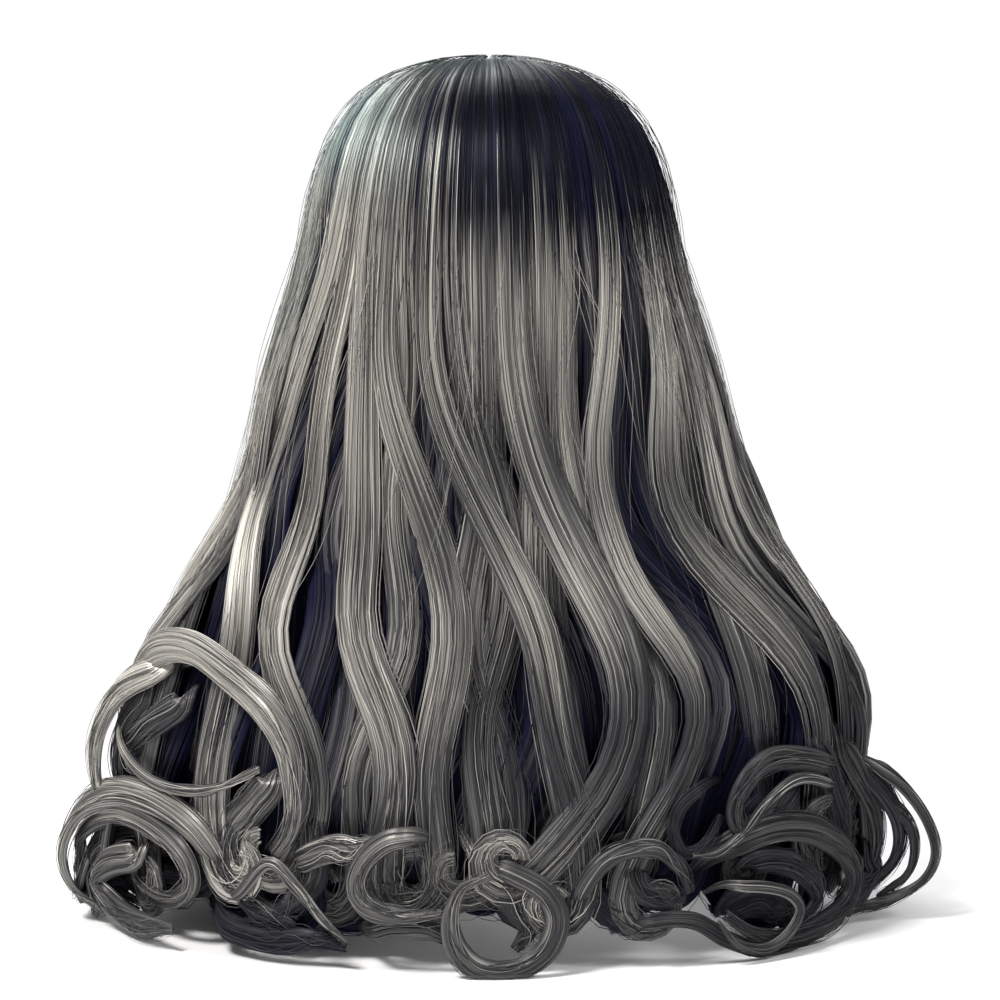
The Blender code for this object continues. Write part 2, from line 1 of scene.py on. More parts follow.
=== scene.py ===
import bmesh
import bpy
import numpy as np
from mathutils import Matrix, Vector


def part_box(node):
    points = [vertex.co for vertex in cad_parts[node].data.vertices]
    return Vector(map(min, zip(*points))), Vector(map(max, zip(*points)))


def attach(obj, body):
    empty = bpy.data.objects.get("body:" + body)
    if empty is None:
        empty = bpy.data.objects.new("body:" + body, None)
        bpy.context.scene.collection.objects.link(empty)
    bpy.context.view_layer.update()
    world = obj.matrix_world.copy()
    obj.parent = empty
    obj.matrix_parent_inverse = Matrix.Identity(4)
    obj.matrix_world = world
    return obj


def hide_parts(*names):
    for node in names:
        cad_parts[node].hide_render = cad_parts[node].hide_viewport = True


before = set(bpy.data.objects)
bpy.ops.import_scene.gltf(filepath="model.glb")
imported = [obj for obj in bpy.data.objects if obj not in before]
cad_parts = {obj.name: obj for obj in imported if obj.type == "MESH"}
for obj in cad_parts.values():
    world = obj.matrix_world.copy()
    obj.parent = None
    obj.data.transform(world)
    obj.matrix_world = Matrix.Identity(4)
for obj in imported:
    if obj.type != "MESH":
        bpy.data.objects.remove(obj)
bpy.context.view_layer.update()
print("frame loaded")

# the outline that all the hair hangs on: a squarish dome over the crown, then a bell down to the table
bell = {
    "heights": [0.035, 0.010, -0.040, -0.095, -0.135, -0.177, -0.220, -0.270, -0.320, -0.365],
    "halfWidths": [0.111, 0.119, 0.134, 0.147, 0.160, 0.189, 0.212, 0.215, 0.211, 0.207],
    "halfDepths": [0.123, 0.126, 0.129, 0.135, 0.141, 0.151, 0.158, 0.158, 0.155, 0.152],
    "crownTop": 0.150,
    "squareness": 0.72,
    "faceHalfGap": 0.060,
    "soften": 0.030,
}
brim = bell["heights"][0]  # where the dome meets the bell
tableZ = -0.365
pathFloor, meshFloor = tableZ + 0.0030, tableZ + 0.0004  # how low the middle of a strand goes, and its underside


def rampUp(x, low, high):
    # eased step from 0 at low to 1 at high
    t = np.clip((x - low) / (high - low), 0, 1)
    return t * t * (3 - 2 * t)


def unit(v, least=0.0):
    return v / (np.linalg.norm(v, axis=-1, keepdims=True) + least)


def stacked(*parts):
    # arrays spread to one shape and set side by side as the last axis
    return np.stack(np.broadcast_arrays(*parts), -1)


def bellTable():
    # the outline's two half widths against height, averaged over a short window so it has no corners
    z = np.linspace(brim + 0.03, bell["heights"][-1] - 0.03, 500)
    window = np.ones(max(1, int(bell["soften"] / abs(z[1] - z[0]))))
    window /= window.size
    found = [-z]
    for key in ("halfWidths", "halfDepths"):
        raw = np.interp(-z, -np.array(bell["heights"]), np.array(bell[key]))
        padded = np.pad(raw, window.size // 2, mode="edge")
        found.append(np.convolve(padded, window, mode="valid")[: z.size])
    return found


bellDown, bellWidth, bellDepth = bellTable()


def bellAt(z):
    return np.interp(-z, bellDown, bellWidth), np.interp(-z, bellDown, bellDepth)


def bellPoint(theta, z, out):
    # an ellipse at each height, grown by out; theta runs round from the nape, positive to the wearer's left. The
    # waves stand a little wider on the wearer's right above the hem
    w, d = bellAt(z)
    swell = 1 + 0.05 * rampUp(-z, 0.05, 0.17) * (1 - rampUp(-z, 0.25, 0.33)) * rampUp(-theta, 0.3, 1.2)
    return stacked((w + out) * swell * np.sin(theta), (d + out) * np.cos(theta), z)


def bellNormal(theta, z):
    w, d = bellAt(z)
    return unit(stacked(np.sin(theta) / w, np.cos(theta) / d, 0.0))


def faceLimit(z):
    # the azimuth where the hair stops beside the face
    return np.pi - np.arcsin(bell["faceHalfGap"] / bellAt(z)[0])


def domePoint(direction, out):
    # a superellipse dome: the cosine and sine of the climb are raised to a power under 1, so it is squarish
    climb = np.arcsin(np.clip(direction[..., 2], 0, 1))
    theta = np.arctan2(direction[..., 0], direction[..., 1])
    power = bell["squareness"]
    across = np.clip(np.cos(climb), 1e-6, 1) ** power
    point = stacked(
        bell["halfWidths"][0] * across * np.sin(theta),
        bell["halfDepths"][0] * across * np.cos(theta),
        bell["crownTop"] * np.clip(np.sin(climb), 0, 1) ** power,
    )
    return point * (1 + out[..., None] / np.linalg.norm(point, axis=-1, keepdims=True))


def rootDirection(theta):
    # back hair springs from the crown; from there to the brow the root slides forward along the parting
    turn = np.abs(np.degrees(theta))
    lean = np.radians(-3 - 58 * rampUp(turn, 40, 150))
    side = 0.010 * np.sin(np.clip(theta, -np.pi / 2, np.pi / 2)) * rampUp(turn, 20, 80)
    back = 0.010 * np.cos(theta) * (turn < 90)
    return unit(stacked(side, np.sin(lean) + back, np.cos(lean)))


def crownWay(theta, t, nudge=0.0):
    # directions from the root (t = 0) to the brim (t = 1), the shortest way over a ball
    climb = np.arcsin((brim / bell["crownTop"]) ** (1 / bell["squareness"]))
    a = rootDirection(theta + nudge)
    b = stacked(np.sin(theta) * np.cos(climb), np.cos(theta) * np.cos(climb), np.sin(climb))
    angle = np.arccos(np.clip((a * b).sum(-1), -1, 1))[..., None, None]
    t = t[:, None]
    return unit(np.sin((1 - t) * angle) * a[..., None, :] + np.sin(t * angle) * b[..., None, :])


# meshes

def sweptMesh(paths, outward, section, widths, thicks, masks, uvShift):
    # one closed tube along each path. section: corners round it as (across, up) shares of the half width and half
    # thickness, clockwise seen along the path. paths, outward: tubes x rows x 3; masks: tubes x rows x 4
    count, rows = paths.shape[:2]
    corners = len(section)
    tangent = unit(np.gradient(paths, axis=1), 1e-12)
    side = unit(np.cross(tangent, outward), 1e-12)
    up = np.cross(side, tangent)
    across, above = section[:, 0], section[:, 1]
    points = (
        paths[:, :, None]
        + side[:, :, None] * (widths[:, :, None] / 2 * across)[..., None]
        + up[:, :, None] * (thicks[:, :, None] / 2 * above)[..., None]
    )
    points[..., 2] = np.maximum(points[..., 2], meshFloor)  # hair that lies on the table is pressed flat
    index = np.arange(count * rows * corners).reshape(count, rows, corners)
    a, b = index[:, :-1], index[:, 1:]
    turned = np.roll(np.arange(corners), -1)
    quads = np.stack([a, a[..., turned], b[..., turned], b], -1).reshape(-1, 4)
    fan = np.arange(1, corners - 1)
    caps = [
        stacked(index[:, end, :1], index[:, end, fan + flip], index[:, end, fan + 1 - flip]).reshape(-1, 3)
        for end, flip in ((0, 1), (-1, 0))
    ]
    # the uv map runs in millimetres across and tenths of a metre along
    step = np.linalg.norm(np.diff(paths, axis=1), axis=-1)
    along = np.concatenate([np.zeros((count, 1)), np.cumsum(step, 1)], 1)
    shift = uvShift[:, None, None]
    uv = stacked(widths.max(1)[:, None, None] * 500 * across + shift, along[..., None] * 10 + shift)
    mask = np.repeat(masks[:, :, None], corners, 2)
    mask[..., 2] = np.clip(mask[..., 2] + 0.6 * rampUp(-above, -0.45, 0.7), 0, 1)  # the underside lies in shade
    return {
        "points": points.reshape(-1, 3),
        "quads": quads,
        "tris": np.concatenate(caps),
        "uv": uv.reshape(-1, 2),
        "mask": mask.reshape(-1, 4),
    }


def roundSection(corners):
    turn = np.pi - 2 * np.pi * np.arange(corners) / corners
    return np.stack([np.cos(turn), np.sin(turn)], -1)


ribbonSection = roundSection(6)
strandSection = np.array([[-1.0, -0.5], [0.0, 1.0], [1.0, -0.5]])


def closedPanel(inner, outer, uv, masks=None, ring=False):
    # two grids joined along their edges; ring joins the first and last columns
    rows, columns = inner.shape[:2]
    index = np.arange(rows * columns).reshape(rows, columns)
    if ring:
        index = np.concatenate([index, index[:, :1]], 1)
    front = np.stack([index[:-1, :-1], index[:-1, 1:], index[1:, 1:], index[1:, :-1]], -1).reshape(-1, 4)
    shift = rows * columns
    edges = [(index[0], 1), (index[-1], -1)] + ([] if ring else [(index[:, 0], -1), (index[:, -1], 1)])
    walls = [
        np.stack([line[:-1], line[1:], line[1:] + shift, line[:-1] + shift], -1)[:, ::way] for line, way in edges]
    points = np.concatenate([outer.reshape(-1, 3), inner.reshape(-1, 3)])
    quads = np.concatenate([front] + walls + [front[:, ::-1] + shift])
    corner = points[quads]
    volume = sum(np.einsum("ij,ij->i", corner[:, 0], np.cross(corner[:, i], corner[:, i + 1])).sum() for i in (1, 2))
    masks = np.zeros((shift, 4)) if masks is None else masks.reshape(-1, 4)
    return {
        "points": points,
        "quads": quads if volume > 0 else quads[:, ::-1],  # the faces point outwards
        "tris": np.zeros((0, 3), int),
        "uv": np.tile(uv.reshape(-1, 2), (2, 1)),
        "mask": np.tile(masks, (2, 1)),
    }


def joined(parts):
    starts = np.cumsum([0] + [len(part["points"]) for part in parts])
    shape = {key: np.concatenate([part[key] for part in parts]) for key in ("points", "uv", "mask")}
    for key in ("quads", "tris"):
        shape[key] = np.concatenate([part[key] + start for part, start in zip(parts, starts)])
    return shape


def stoodIn(made, node, body):
    bpy.context.scene.collection.objects.link(made)
    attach(made, body)
    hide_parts(node)
    return made


def addPiece(name, shape, material, node):
    # a mesh object in world space, which stands for a node of the cap body
    points, quads, tris = shape["points"], shape["quads"], shape["tris"]
    corners = np.concatenate([quads.ravel(), tris.ravel()]).astype(np.int32)
    sizes = np.concatenate([np.full(len(quads), 4), np.full(len(tris), 3)])
    mesh = bpy.data.meshes.new(name)
    mesh.vertices.add(len(points))
    mesh.vertices.foreach_set("co", points.astype(np.float32).ravel())
    mesh.loops.add(len(corners))
    mesh.loops.foreach_set("vertex_index", corners)
    mesh.polygons.add(len(sizes))
    mesh.polygons.foreach_set("loop_start", np.concatenate([[0], np.cumsum(sizes)[:-1]]).astype(np.int32))
    mesh.polygons.foreach_set("use_smooth", np.full(len(sizes), True))
    layer = mesh.uv_layers.new(name="along")
    layer.data.foreach_set("uv", shape["uv"][corners].astype(np.float32).ravel())
    mask = mesh.attributes.new("hairMask", "FLOAT_COLOR", "POINT")
    mask.data.foreach_set("color", shape["mask"].astype(np.float32).ravel())
    mesh.update(calc_edges=True)
    mesh.materials.append(material)
    return stoodIn(bpy.data.objects.new(name, mesh), node, "cap")


# materials

def newNode(tree, kind, inputs=None, **settings):
    # a shader node with its settings; each input is linked to a socket or set to a plain value
    node = tree.nodes.new("ShaderNode" + kind)
    for key, value in settings.items():
        setattr(node, key, value)
    for key, value in (inputs or {}).items():
        if isinstance(value, bpy.types.NodeSocket):
            tree.links.new(value, node.inputs[key])
        else:
            node.inputs[key].default_value = value
    return node


def calc(tree, operation, *values):
    return newNode(tree, "Math", dict(enumerate(values)), operation=operation).outputs[0]


def times(tree, first, second):
    return calc(tree, "MULTIPLY", first, second)


def mixed(tree, share, low, high):
    return newNode(tree, "Mix", {"Factor": share, 6: low, 7: high}, data_type="RGBA").outputs[2]


def ranged(tree, value, low, high, toLow=0.0, toHigh=1.0):
    ends = {"From Min": low, "From Max": high, "To Min": toLow, "To Max": toHigh}
    return newNode(tree, "MapRange", {"Value": value, **ends}).outputs["Result"]


def noise(tree, vector, scale, detail=2.0):
    return newNode(tree, "TexNoise", {"Scale": scale, "Detail": detail, "Vector": vector}).outputs["Fac"]


def newGroup(name, inputs):
    # every group gives a colour, a height for the bump and a roughness
    group = bpy.data.node_groups.new(name, "ShaderNodeTree")
    for socket, kind in inputs.items():
        group.interface.new_socket(socket, in_out="INPUT", socket_type="NodeSocket" + kind)
    for socket, kind in {"Colour": "Color", "Height": "Float", "Roughness": "Float"}.items():
        group.interface.new_socket(socket, in_out="OUTPUT", socket_type="NodeSocket" + kind)
    return group, group.nodes.new("NodeGroupInput").outputs


def ended(group, *results):
    for value, socket in zip(results, group.nodes.new("NodeGroupOutput").inputs):
        group.links.new(value, socket)
    return group


def strandGroup():
    # hairMask red is how much of the dark dyed root shows, green is the tone, the lock's own with painted highlights
    # on it, blue is painted shade by how deep the hair lies, and alpha is how much of the painted teal sheen shows.
    # Fibres are a noise stretched along the strand, in fine and broad stripes.
    colours = dict.fromkeys(("Root", "Dark", "Middle", "Light", "Shadow", "TealSheen"), "Color")
    group, given = newGroup("strandColour", {**colours, "Fineness": "Float", "Contrast": "Float"})
    attribute = newNode(group, "Attribute", attribute_name="hairMask").outputs
    mask = newNode(group, "SeparateColor", {"Color": attribute["Color"]}).outputs
    uv = newNode(group, "UVMap", uv_map="along").outputs["UV"]
    place = newNode(group, "SeparateXYZ", {"Vector": uv}).outputs

    def stripes(across, along):
        x = times(group, times(group, place["X"], given["Fineness"]), across)
        spot = newNode(group, "CombineXYZ", {"X": x, "Y": times(group, place["Y"], along)})
        return noise(group, spot.outputs["Vector"], 1.0)

    fine, broad = stripes(1.0, 0.9), stripes(0.24, 0.6)
    spread = calc(group, "ADD", times(group, fine, 0.62), times(group, broad, 0.38))
    swing = times(group, calc(group, "SUBTRACT", spread, 0.5), given["Contrast"])
    tone = calc(group, "ADD", mask["Green"], swing)
    low = mixed(group, ranged(group, tone, 0.0, 0.5), given["Dark"], given["Middle"])
    body = mixed(group, ranged(group, tone, 0.5, 1.0), low, given["Light"])
    # the painted teal sheen is mixed over the hair's colour
    sheenTinted = mixed(group, attribute["Alpha"], body, given["TealSheen"])
    rooted = mixed(group, mask["Red"], sheenTinted, given["Root"])
    # hair in the depth scatters more than the hair on top
    rough = calc(group, "ADD", ranged(group, fine, 0.3, 0.7, 0.34, 0.48), times(group, mask["Blue"], 0.40))
    return ended(group, mixed(group, mask["Blue"], rooted, given["Shadow"]), fine, rough)


def clothGroup():
    # warp and weft threads as two crossed waves, a fuzz of noise, and a slow stain of wear
    group, given = newGroup("cloth", {
        "Place": "Vector", "Low": "Color", "High": "Color", "Threads": "Float", "Fuzz": "Float"})
    place = newNode(group, "SeparateXYZ", {"Vector": given["Place"]}).outputs
    warp, weft = (
        calc(group, "SINE", times(group, place[axis], times(group, given["Threads"], 6.283))) for axis in "XY")
    fuzz = noise(group, given["Place"], 2.2, 3.0)
    wear = noise(group, given["Place"], 0.06)
    weave = times(group, times(group, warp, weft), 0.25)
    height = calc(group, "ADD", weave, times(group, fuzz, given["Fuzz"]))
    share = ranged(group, calc(group, "ADD", height, times(group, wear, 0.6)), 0.1, 1.1)
    rough = ranged(group, fuzz, 0.3, 0.7, 0.75, 0.95)
    return ended(group, mixed(group, share, given["Low"], given["High"]), height, rough)


def netGroup():
    # a stretch lace: round cells edged by thread, with a flower of larger cells now and then
    group, given = newGroup("net", {"Place": "Vector", "Hole": "Color", "Thread": "Color", "Cells": "Float"})
    inputs = {"Randomness": 0.15, "Vector": given["Place"], "Scale": given["Cells"]}
    cells = newNode(group, "TexVoronoi", inputs, feature="DISTANCE_TO_EDGE")
    edge = ranged(group, cells.outputs["Distance"], 0.16, 0.05)
    flower = ranged(group, noise(group, given["Place"], 0.12, 1.0), 0.52, 0.60)
    share = calc(group, "MAXIMUM", edge, times(group, flower, 0.55))
    rough = ranged(group, share, 0.0, 1.0, 0.95, 0.7)
    return ended(group, mixed(group, share, given["Hole"], given["Thread"]), share, rough)


def mouldedGroup():
    # moulded or rolled surfaces: a fine grain, brushed one way, and faint handling marks
    group, given = newGroup("moulded", {
        "Colour": "Color", "Worn": "Color", "Grain": "Float", "Stretch": "Vector", "Rough": "Float"})
    place = newNode(group, "TexCoord").outputs["Object"]
    scaled = newNode(group, "VectorMath", {0: place, 1: given["Stretch"]}, operation="MULTIPLY")
    grain = noise(group, scaled.outputs["Vector"], given["Grain"])
    marks = ranged(group, noise(group, place, 160.0, 3.0), 0.45, 0.75, 0.0, 0.6)
    change = times(group, calc(group, "SUBTRACT", grain, 0.5), 0.25)
    rough = calc(group, "ADD", given["Rough"], change)
    return ended(group, mixed(group, marks, given["Colour"], given["Worn"]), grain, rough)


strandNodes, clothNodes, netNodes, mouldedNodes = strandGroup(), clothGroup(), netGroup(), mouldedGroup()


def surfaceOf(name):
    made = bpy.data.materials.new(name)
    made.use_nodes = True
    return made, made.node_tree, made.node_tree.nodes["Principled BSDF"].inputs


def groupMaterial(name, nodeGroup, values, bump, onObject=False, **surfaceValues):
    # bump is its strength and its height in metres
    made, tree, surface = surfaceOf(name)
    group = newNode(tree, "Group", node_tree=nodeGroup)
    for key, value in values.items():
        group.inputs[key].default_value = value
    if "Place" in group.inputs:
        if onObject:  # metres to millimetres
            place = {0: newNode(tree, "TexCoord").outputs["Object"], "Scale": 1000.0}
            place = newNode(tree, "VectorMath", place, operation="SCALE").outputs["Vector"]
        else:
            place = newNode(tree, "UVMap", uv_map="along").outputs["UV"]
        tree.links.new(place, group.inputs["Place"])
    height = {"Strength": bump[0], "Distance": bump[1], "Height": group.outputs["Height"]}
    tree.links.new(newNode(tree, "Bump", height).outputs["Normal"], surface["Normal"])
    tree.links.new(group.outputs["Colour"], surface["Base Color"])
    tree.links.new(group.outputs["Roughness"], surface["Roughness"])
    for key, value in surfaceValues.items():
        surface[key.replace("_", " ")].default_value = value
    return made


hairColours = {
    "Root": (0.005, 0.006, 0.010, 1),
    "Dark": (0.035, 0.035, 0.038, 1),
    "Middle": (0.116, 0.114, 0.112, 1),
    "Light": (0.780, 0.750, 0.680, 1),
    "Shadow": (0.006, 0.007, 0.026, 1),
    # the teal is a painted sheen
    "TealSheen": (0.170, 0.270, 0.265, 1),
    "Fineness": 2.3,
    "Contrast": 2.0,
}
# most of the sheen takes the hair's own colour, so the dark roots and the depths stay dark
hairFinish = groupMaterial("smokeHair", strandNodes, hairColours, (0.18, 0.0004),
                           Metallic=0.42, Specular_IOR_Level=0.08, Anisotropic=0.75)
hairTree = hairFinish.node_tree
grainWay = newNode(hairTree, "Tangent", direction_type="UV_MAP", uv_map="along").outputs["Tangent"]
hairTree.links.new(grainWay, hairTree.nodes["Principled BSDF"].inputs["Tangent"])

velvetLook = {"Low": (0.012, 0.010, 0.010, 1), "High": (0.075, 0.063, 0.058, 1), "Threads": 1.2, "Fuzz": 0.9}
tapeLook = {"Low": (0.030, 0.029, 0.028, 1), "High": (0.130, 0.125, 0.120, 1), "Threads": 1.6, "Fuzz": 0.4}
netLook = {"Hole": (0.006, 0.006, 0.007, 1), "Thread": (0.050, 0.047, 0.046, 1), "Cells": 0.62}
elasticLook = {"Low": (0.020, 0.020, 0.022, 1), "High": (0.120, 0.118, 0.120, 1), "Threads": 0.9, "Fuzz": 0.2}
skinLook = {"Low": (0.42, 0.24, 0.17, 1), "High": (0.74, 0.50, 0.38, 1), "Threads": 3.0, "Fuzz": 0.5}
threadLook = {"Low": (0.10, 0.095, 0.090, 1), "High": (0.26, 0.25, 0.24, 1), "Threads": 2.5, "Fuzz": 0.5}


def mouldedLook(colour, worn, stretch, rough):
    return {"Colour": colour, "Worn": worn, "Grain": 1.0, "Stretch": stretch, "Rough": rough}


netCloth = groupMaterial("capNet", netNodes, netLook, (0.8, 0.0004))
velvet = groupMaterial("velvetBand", clothNodes, velvetLook, (0.5, 0.0004), Sheen_Weight=0.6)
velvetSmall = groupMaterial("velvetTab", clothNodes, velvetLook, (0.5, 0.0004), True, Sheen_Weight=0.6)
tape = groupMaterial("weftTape", clothNodes, tapeLook, (0.6, 0.0003))
tapeSmall = groupMaterial("loopTape", clothNodes, tapeLook, (0.6, 0.0003), True)
elastic = groupMaterial("elastic", clothNodes, elasticLook, (0.9, 0.0004), True)
skinCloth = groupMaterial("scalpSkin", clothNodes, skinLook, (0.3, 0.0002))
thread = groupMaterial("thread", clothNodes, threadLook, (0.4, 0.0001), True)
combPlastic = groupMaterial("combPlastic", mouldedNodes, mouldedLook(
    (0.018, 0.016, 0.016, 1), (0.050, 0.046, 0.044, 1), (900, 900, 900), 0.42), (0.15, 0.0001))
hookPlastic = groupMaterial("hookPlastic", mouldedNodes, mouldedLook(
    (0.012, 0.012, 0.013, 1), (0.030, 0.030, 0.032, 1), (600, 600, 600), 0.22), (0.06, 0.0001), Coat_Weight=0.3)
staySteel = groupMaterial("staySteel", mouldedNodes, mouldedLook(
    (0.56, 0.57, 0.58, 1), (0.40, 0.41, 0.43, 1), (1500, 1500, 60), 0.32), (0.2, 0.00005), Metallic=1.0)
print("materials made")

# hair

tresses = {
    "outerLocks": 5,
    "innerLocks": 3,
    "underLocks": 3,
    # ribbons and single strands in one lock
    "outerHair": (6, 26),
    "innerHair": (4, 0),
    "drawnHair": (7, 46),
    "ribbonWidth": 0.0062,
    "ribbonThick": 0.0030,
    "strandWidth": 0.0006,
    "crownRows": 10,
    "fallRows": 25,
    "tipRows": 14,
    "waveLength": 0.150,
    "waveAcross": 0.0055,
    "waveOut": 0.0050,
    "swayLength": 0.285,
    "swayAcross": 0.0200,
    "swayFrom": -0.065,
    "panelThick": 0.0035,
}
uvRange = 900  # each strand takes its stripes from its own place, up to this far off


def darkRootLessSheen(points, jitter):
    # 1 where the dark dyed roots show: over the crown down to a soft edge, which sits higher on the back left, where a
    #                                   painted sheen lightens them, as it does at the very top
    x, y, z = points[..., 0], points[..., 1], points[..., 2]
    leftBackSheen = rampUp(x + 1.2 * jitter, 0.014, 0.068) * rampUp(y, -0.02, 0.04)
    edge = 0.038 + 0.080 * leftBackSheen + 1.6 * jitter
    return rampUp(z, edge - 0.020, edge + 0.020) * (1 - 0.78 * leftBackSheen) * (1 - 0.35 * rampUp(z, 0.122, 0.148))


def hairMasks(points, tone, deepShade, jitter):
    # root, tone, painted shade and painted teal sheen: the tone takes a painted highlight on the lit wearer's left and
    # in a band under the crown, and is darker low on the right and towards the bottom
    x, y, z = points[..., 0], points[..., 1], points[..., 2]
    # painted highlight on the wearer's left, the side the key light falls on
    leftHighlight = 0.16 * rampUp(x, 0.0, 0.10) * rampUp(z, -0.30, -0.05)
    # a painted highlight band under the crown
    band = 0.12 * rampUp(z, -0.11, -0.03) * (1 - rampUp(z, 0.0, 0.05)) * rampUp(-x, -0.03, 0.03)
    lowRightDarker = 0.22 * rampUp(-x, -0.02, 0.10) * rampUp(-z, 0.13, 0.26)
    low = 0.13 * rampUp(-z, 0.16, 0.32)
    # a painted teal sheen over the top of the crown and on the wearer's left
    tealSheen = np.maximum.reduce([
        0.62 * rampUp(x, 0.012, 0.085) * rampUp(z, 0.045, 0.115) * rampUp(y, -0.10, -0.02),
        0.45 * rampUp(z, 0.118, 0.145) * rampUp(x, -0.07, 0.0),
        0.28 * rampUp(x, 0.085, 0.125) * rampUp(z, -0.05, 0.03),
    ])
    return stacked(darkRootLessSheen(points, jitter), np.clip(tone + leftHighlight + band - lowRightDarker - low, 0.0, 1.0), deepShade, tealSheen)


# locks of the back, drawn one by one: each one's tress, width, tone and depth, and then its places across, in
# millimetres (wearer's left is positive), at these heights in metres
heroHeights = [0.030, -0.030, -0.080, -0.120, -0.155, -0.180, -0.205, -0.235, -0.265, -0.300, -0.345]
# the brighter tones stand partly for painted highlight on locks that catch the light
heroLocks = {
    "farLeft": ("tress_left_5", 0.015, 0.14, -0.003, [88, 112, 130, 138, 140, 142, 150, 158, 160, 155, 150]),
    "left": ("tress_left_5", 0.011, 0.1, -0.003, [78, 92, 100, 106, 118, 124, 118, 102, 98, 104, 110]),
    "cream": ("tress_left_6", 0.013, 0.1, -0.003, [70, 72, 70, 72, 78, 80, 62, 47, 50, 62, 70]),
    "leftOfGap": ("tress_left_6", 0.011, 0.06, -0.003, [58, 62, 46, 32, 22, 18, 22, 30, 36, 30, 20]),
    "leftUnder": ("tress_left_6", 0.01, 0.0, -0.0085, [50, 48, 52, 56, 50, 46, 54, 70, 78, 74, 80]),
    "crossing": ("tress_left_7", 0.009, 0.02, 0.002, [34, 34, 18, 0, -18, -30, -34, -38, -46, -52, -50]),
    "middle": ("tress_left_7", 0.012, -0.08, -0.009, [20, 16, 4, -10, -14, -10, 2, 10, 4, -6, 0]),
    "centre": ("tress_right_7", 0.012, -0.1, -0.01, [4, 2, 0, 6, 12, 14, 8, -4, -12, -8, 4]),
    "broad": ("tress_right_7", 0.013, 0.03, 0.001, [-11, -13, -24, -37, -56, -73, -81, -79, -65, -30, -10]),
    "hanging": ("tress_right_7", 0.013, 0.0, -0.0085, [-28, -30, -30, -30, -32, -34, -34, -38, -47, -56, -60]),
    "innerRight": ("tress_right_6", 0.011, 0.02, -0.007, [-42, -42, -41, -54, -76, -90, -98, -96, -90, -85, -90]),
    "brightBend": ("tress_right_6", 0.009, 0.14, 0.0, [-68, -65, -58, -64, -72, -99, -119, -121, -103, -75, -60]),
    "rightSheet": ("tress_right_5", 0.014, 0.06, -0.003, [-92, -101, -100, -106, -130, -155,
        -175, -187, -190, -185, -175]),
    "rightUnder": ("tress_right_5", 0.013, -0.04, -0.0085, [-84, -112, -118, -124, -128, -138,
        -148, -156, -160, -156, -150]),
    "farRight": ("tress_right_5", 0.014, 0.04, -0.003, [-102, -124, -138, -150, -170, -184,
        -198, -206, -207, -205, -200]),
}


def lockRows(lock):
    # in the unrolled curtain: a sine sideways whose swing grows on the way down, then a closing spiral. It returns
    # how far across, how high and how far out each row is
    down = np.linspace(0, 1, tresses["fallRows"])
    z = brim + (lock["end"] - brim) * down
    phase = 2 * np.pi * (brim - z) / lock["waveLength"] + lock["phase"]
    grow = 0.12 + 0.88 * rampUp(-z, -0.03, 0.13)
    if "line" in lock:
        # drawn one by one: its places across at a few heights, averaged over a short window
        levels = np.linspace(0.05, z[-1] - 0.02, 240)
        x = np.interp(-levels, -np.array(heroHeights), np.array(lock["line"]) / 1000)
        x = np.convolve(np.pad(x, 10, mode="edge"), np.ones(21) / 21, mode="valid")
        w = bellAt(z)[0]
        u = w * np.arcsin(np.clip(np.interp(-z, -levels, x) / w, -0.97, 0.97))
        u = u + 0.25 * lock["across"] * grow * np.sin(phase)
    else:
        sway = np.cos(2 * np.pi * (z - tresses["swayFrom"]) / tresses["swayLength"] + lock["swayPhase"])
        sway = tresses["swayAcross"] * lock["sway"] * (sway - sway[0] * (1 - down) ** 2)
        u = grow * (sway + lock["across"] * np.sin(phase))
    depth = lock["depth"] * (0.30 + 0.70 * rampUp(-z, -0.02, 0.07))
    out = lock["out"] * grow * np.cos(phase) + depth
    heading = unit(np.array([u[-1] - u[-2], z[-1] - z[-2]]))
    side = np.array([heading[1], -heading[0]]) * lock["curlSide"]
    turn = np.linspace(0, 1, tresses["tipRows"] + 1)[1:]
    angle = (turn * lock["curlTurns"] * 2 * np.pi)[:, None]
    radius = (lock["curlRadius"] * (1 - 0.62 * turn))[:, None]
    centre = np.array([u[-1], z[-1]]) + side * lock["curlRadius"]
    spiral = centre + radius * (heading * np.sin(angle) - side * np.cos(angle))
    z = np.concatenate([z, spiral[:, 1]])
    out = np.concatenate([out, out[-1] + lock["curlOut"] * turn])
    return np.concatenate([u, spiral[:, 0]]), np.maximum(z, pathFloor), out


def rootSink(theta):
    # how far under the dome the roots start: near the surface at the whorl, down at the cap along the parting
    return -0.002 + 0.020 * rampUp(np.abs(np.degrees(theta)), 60, 125)


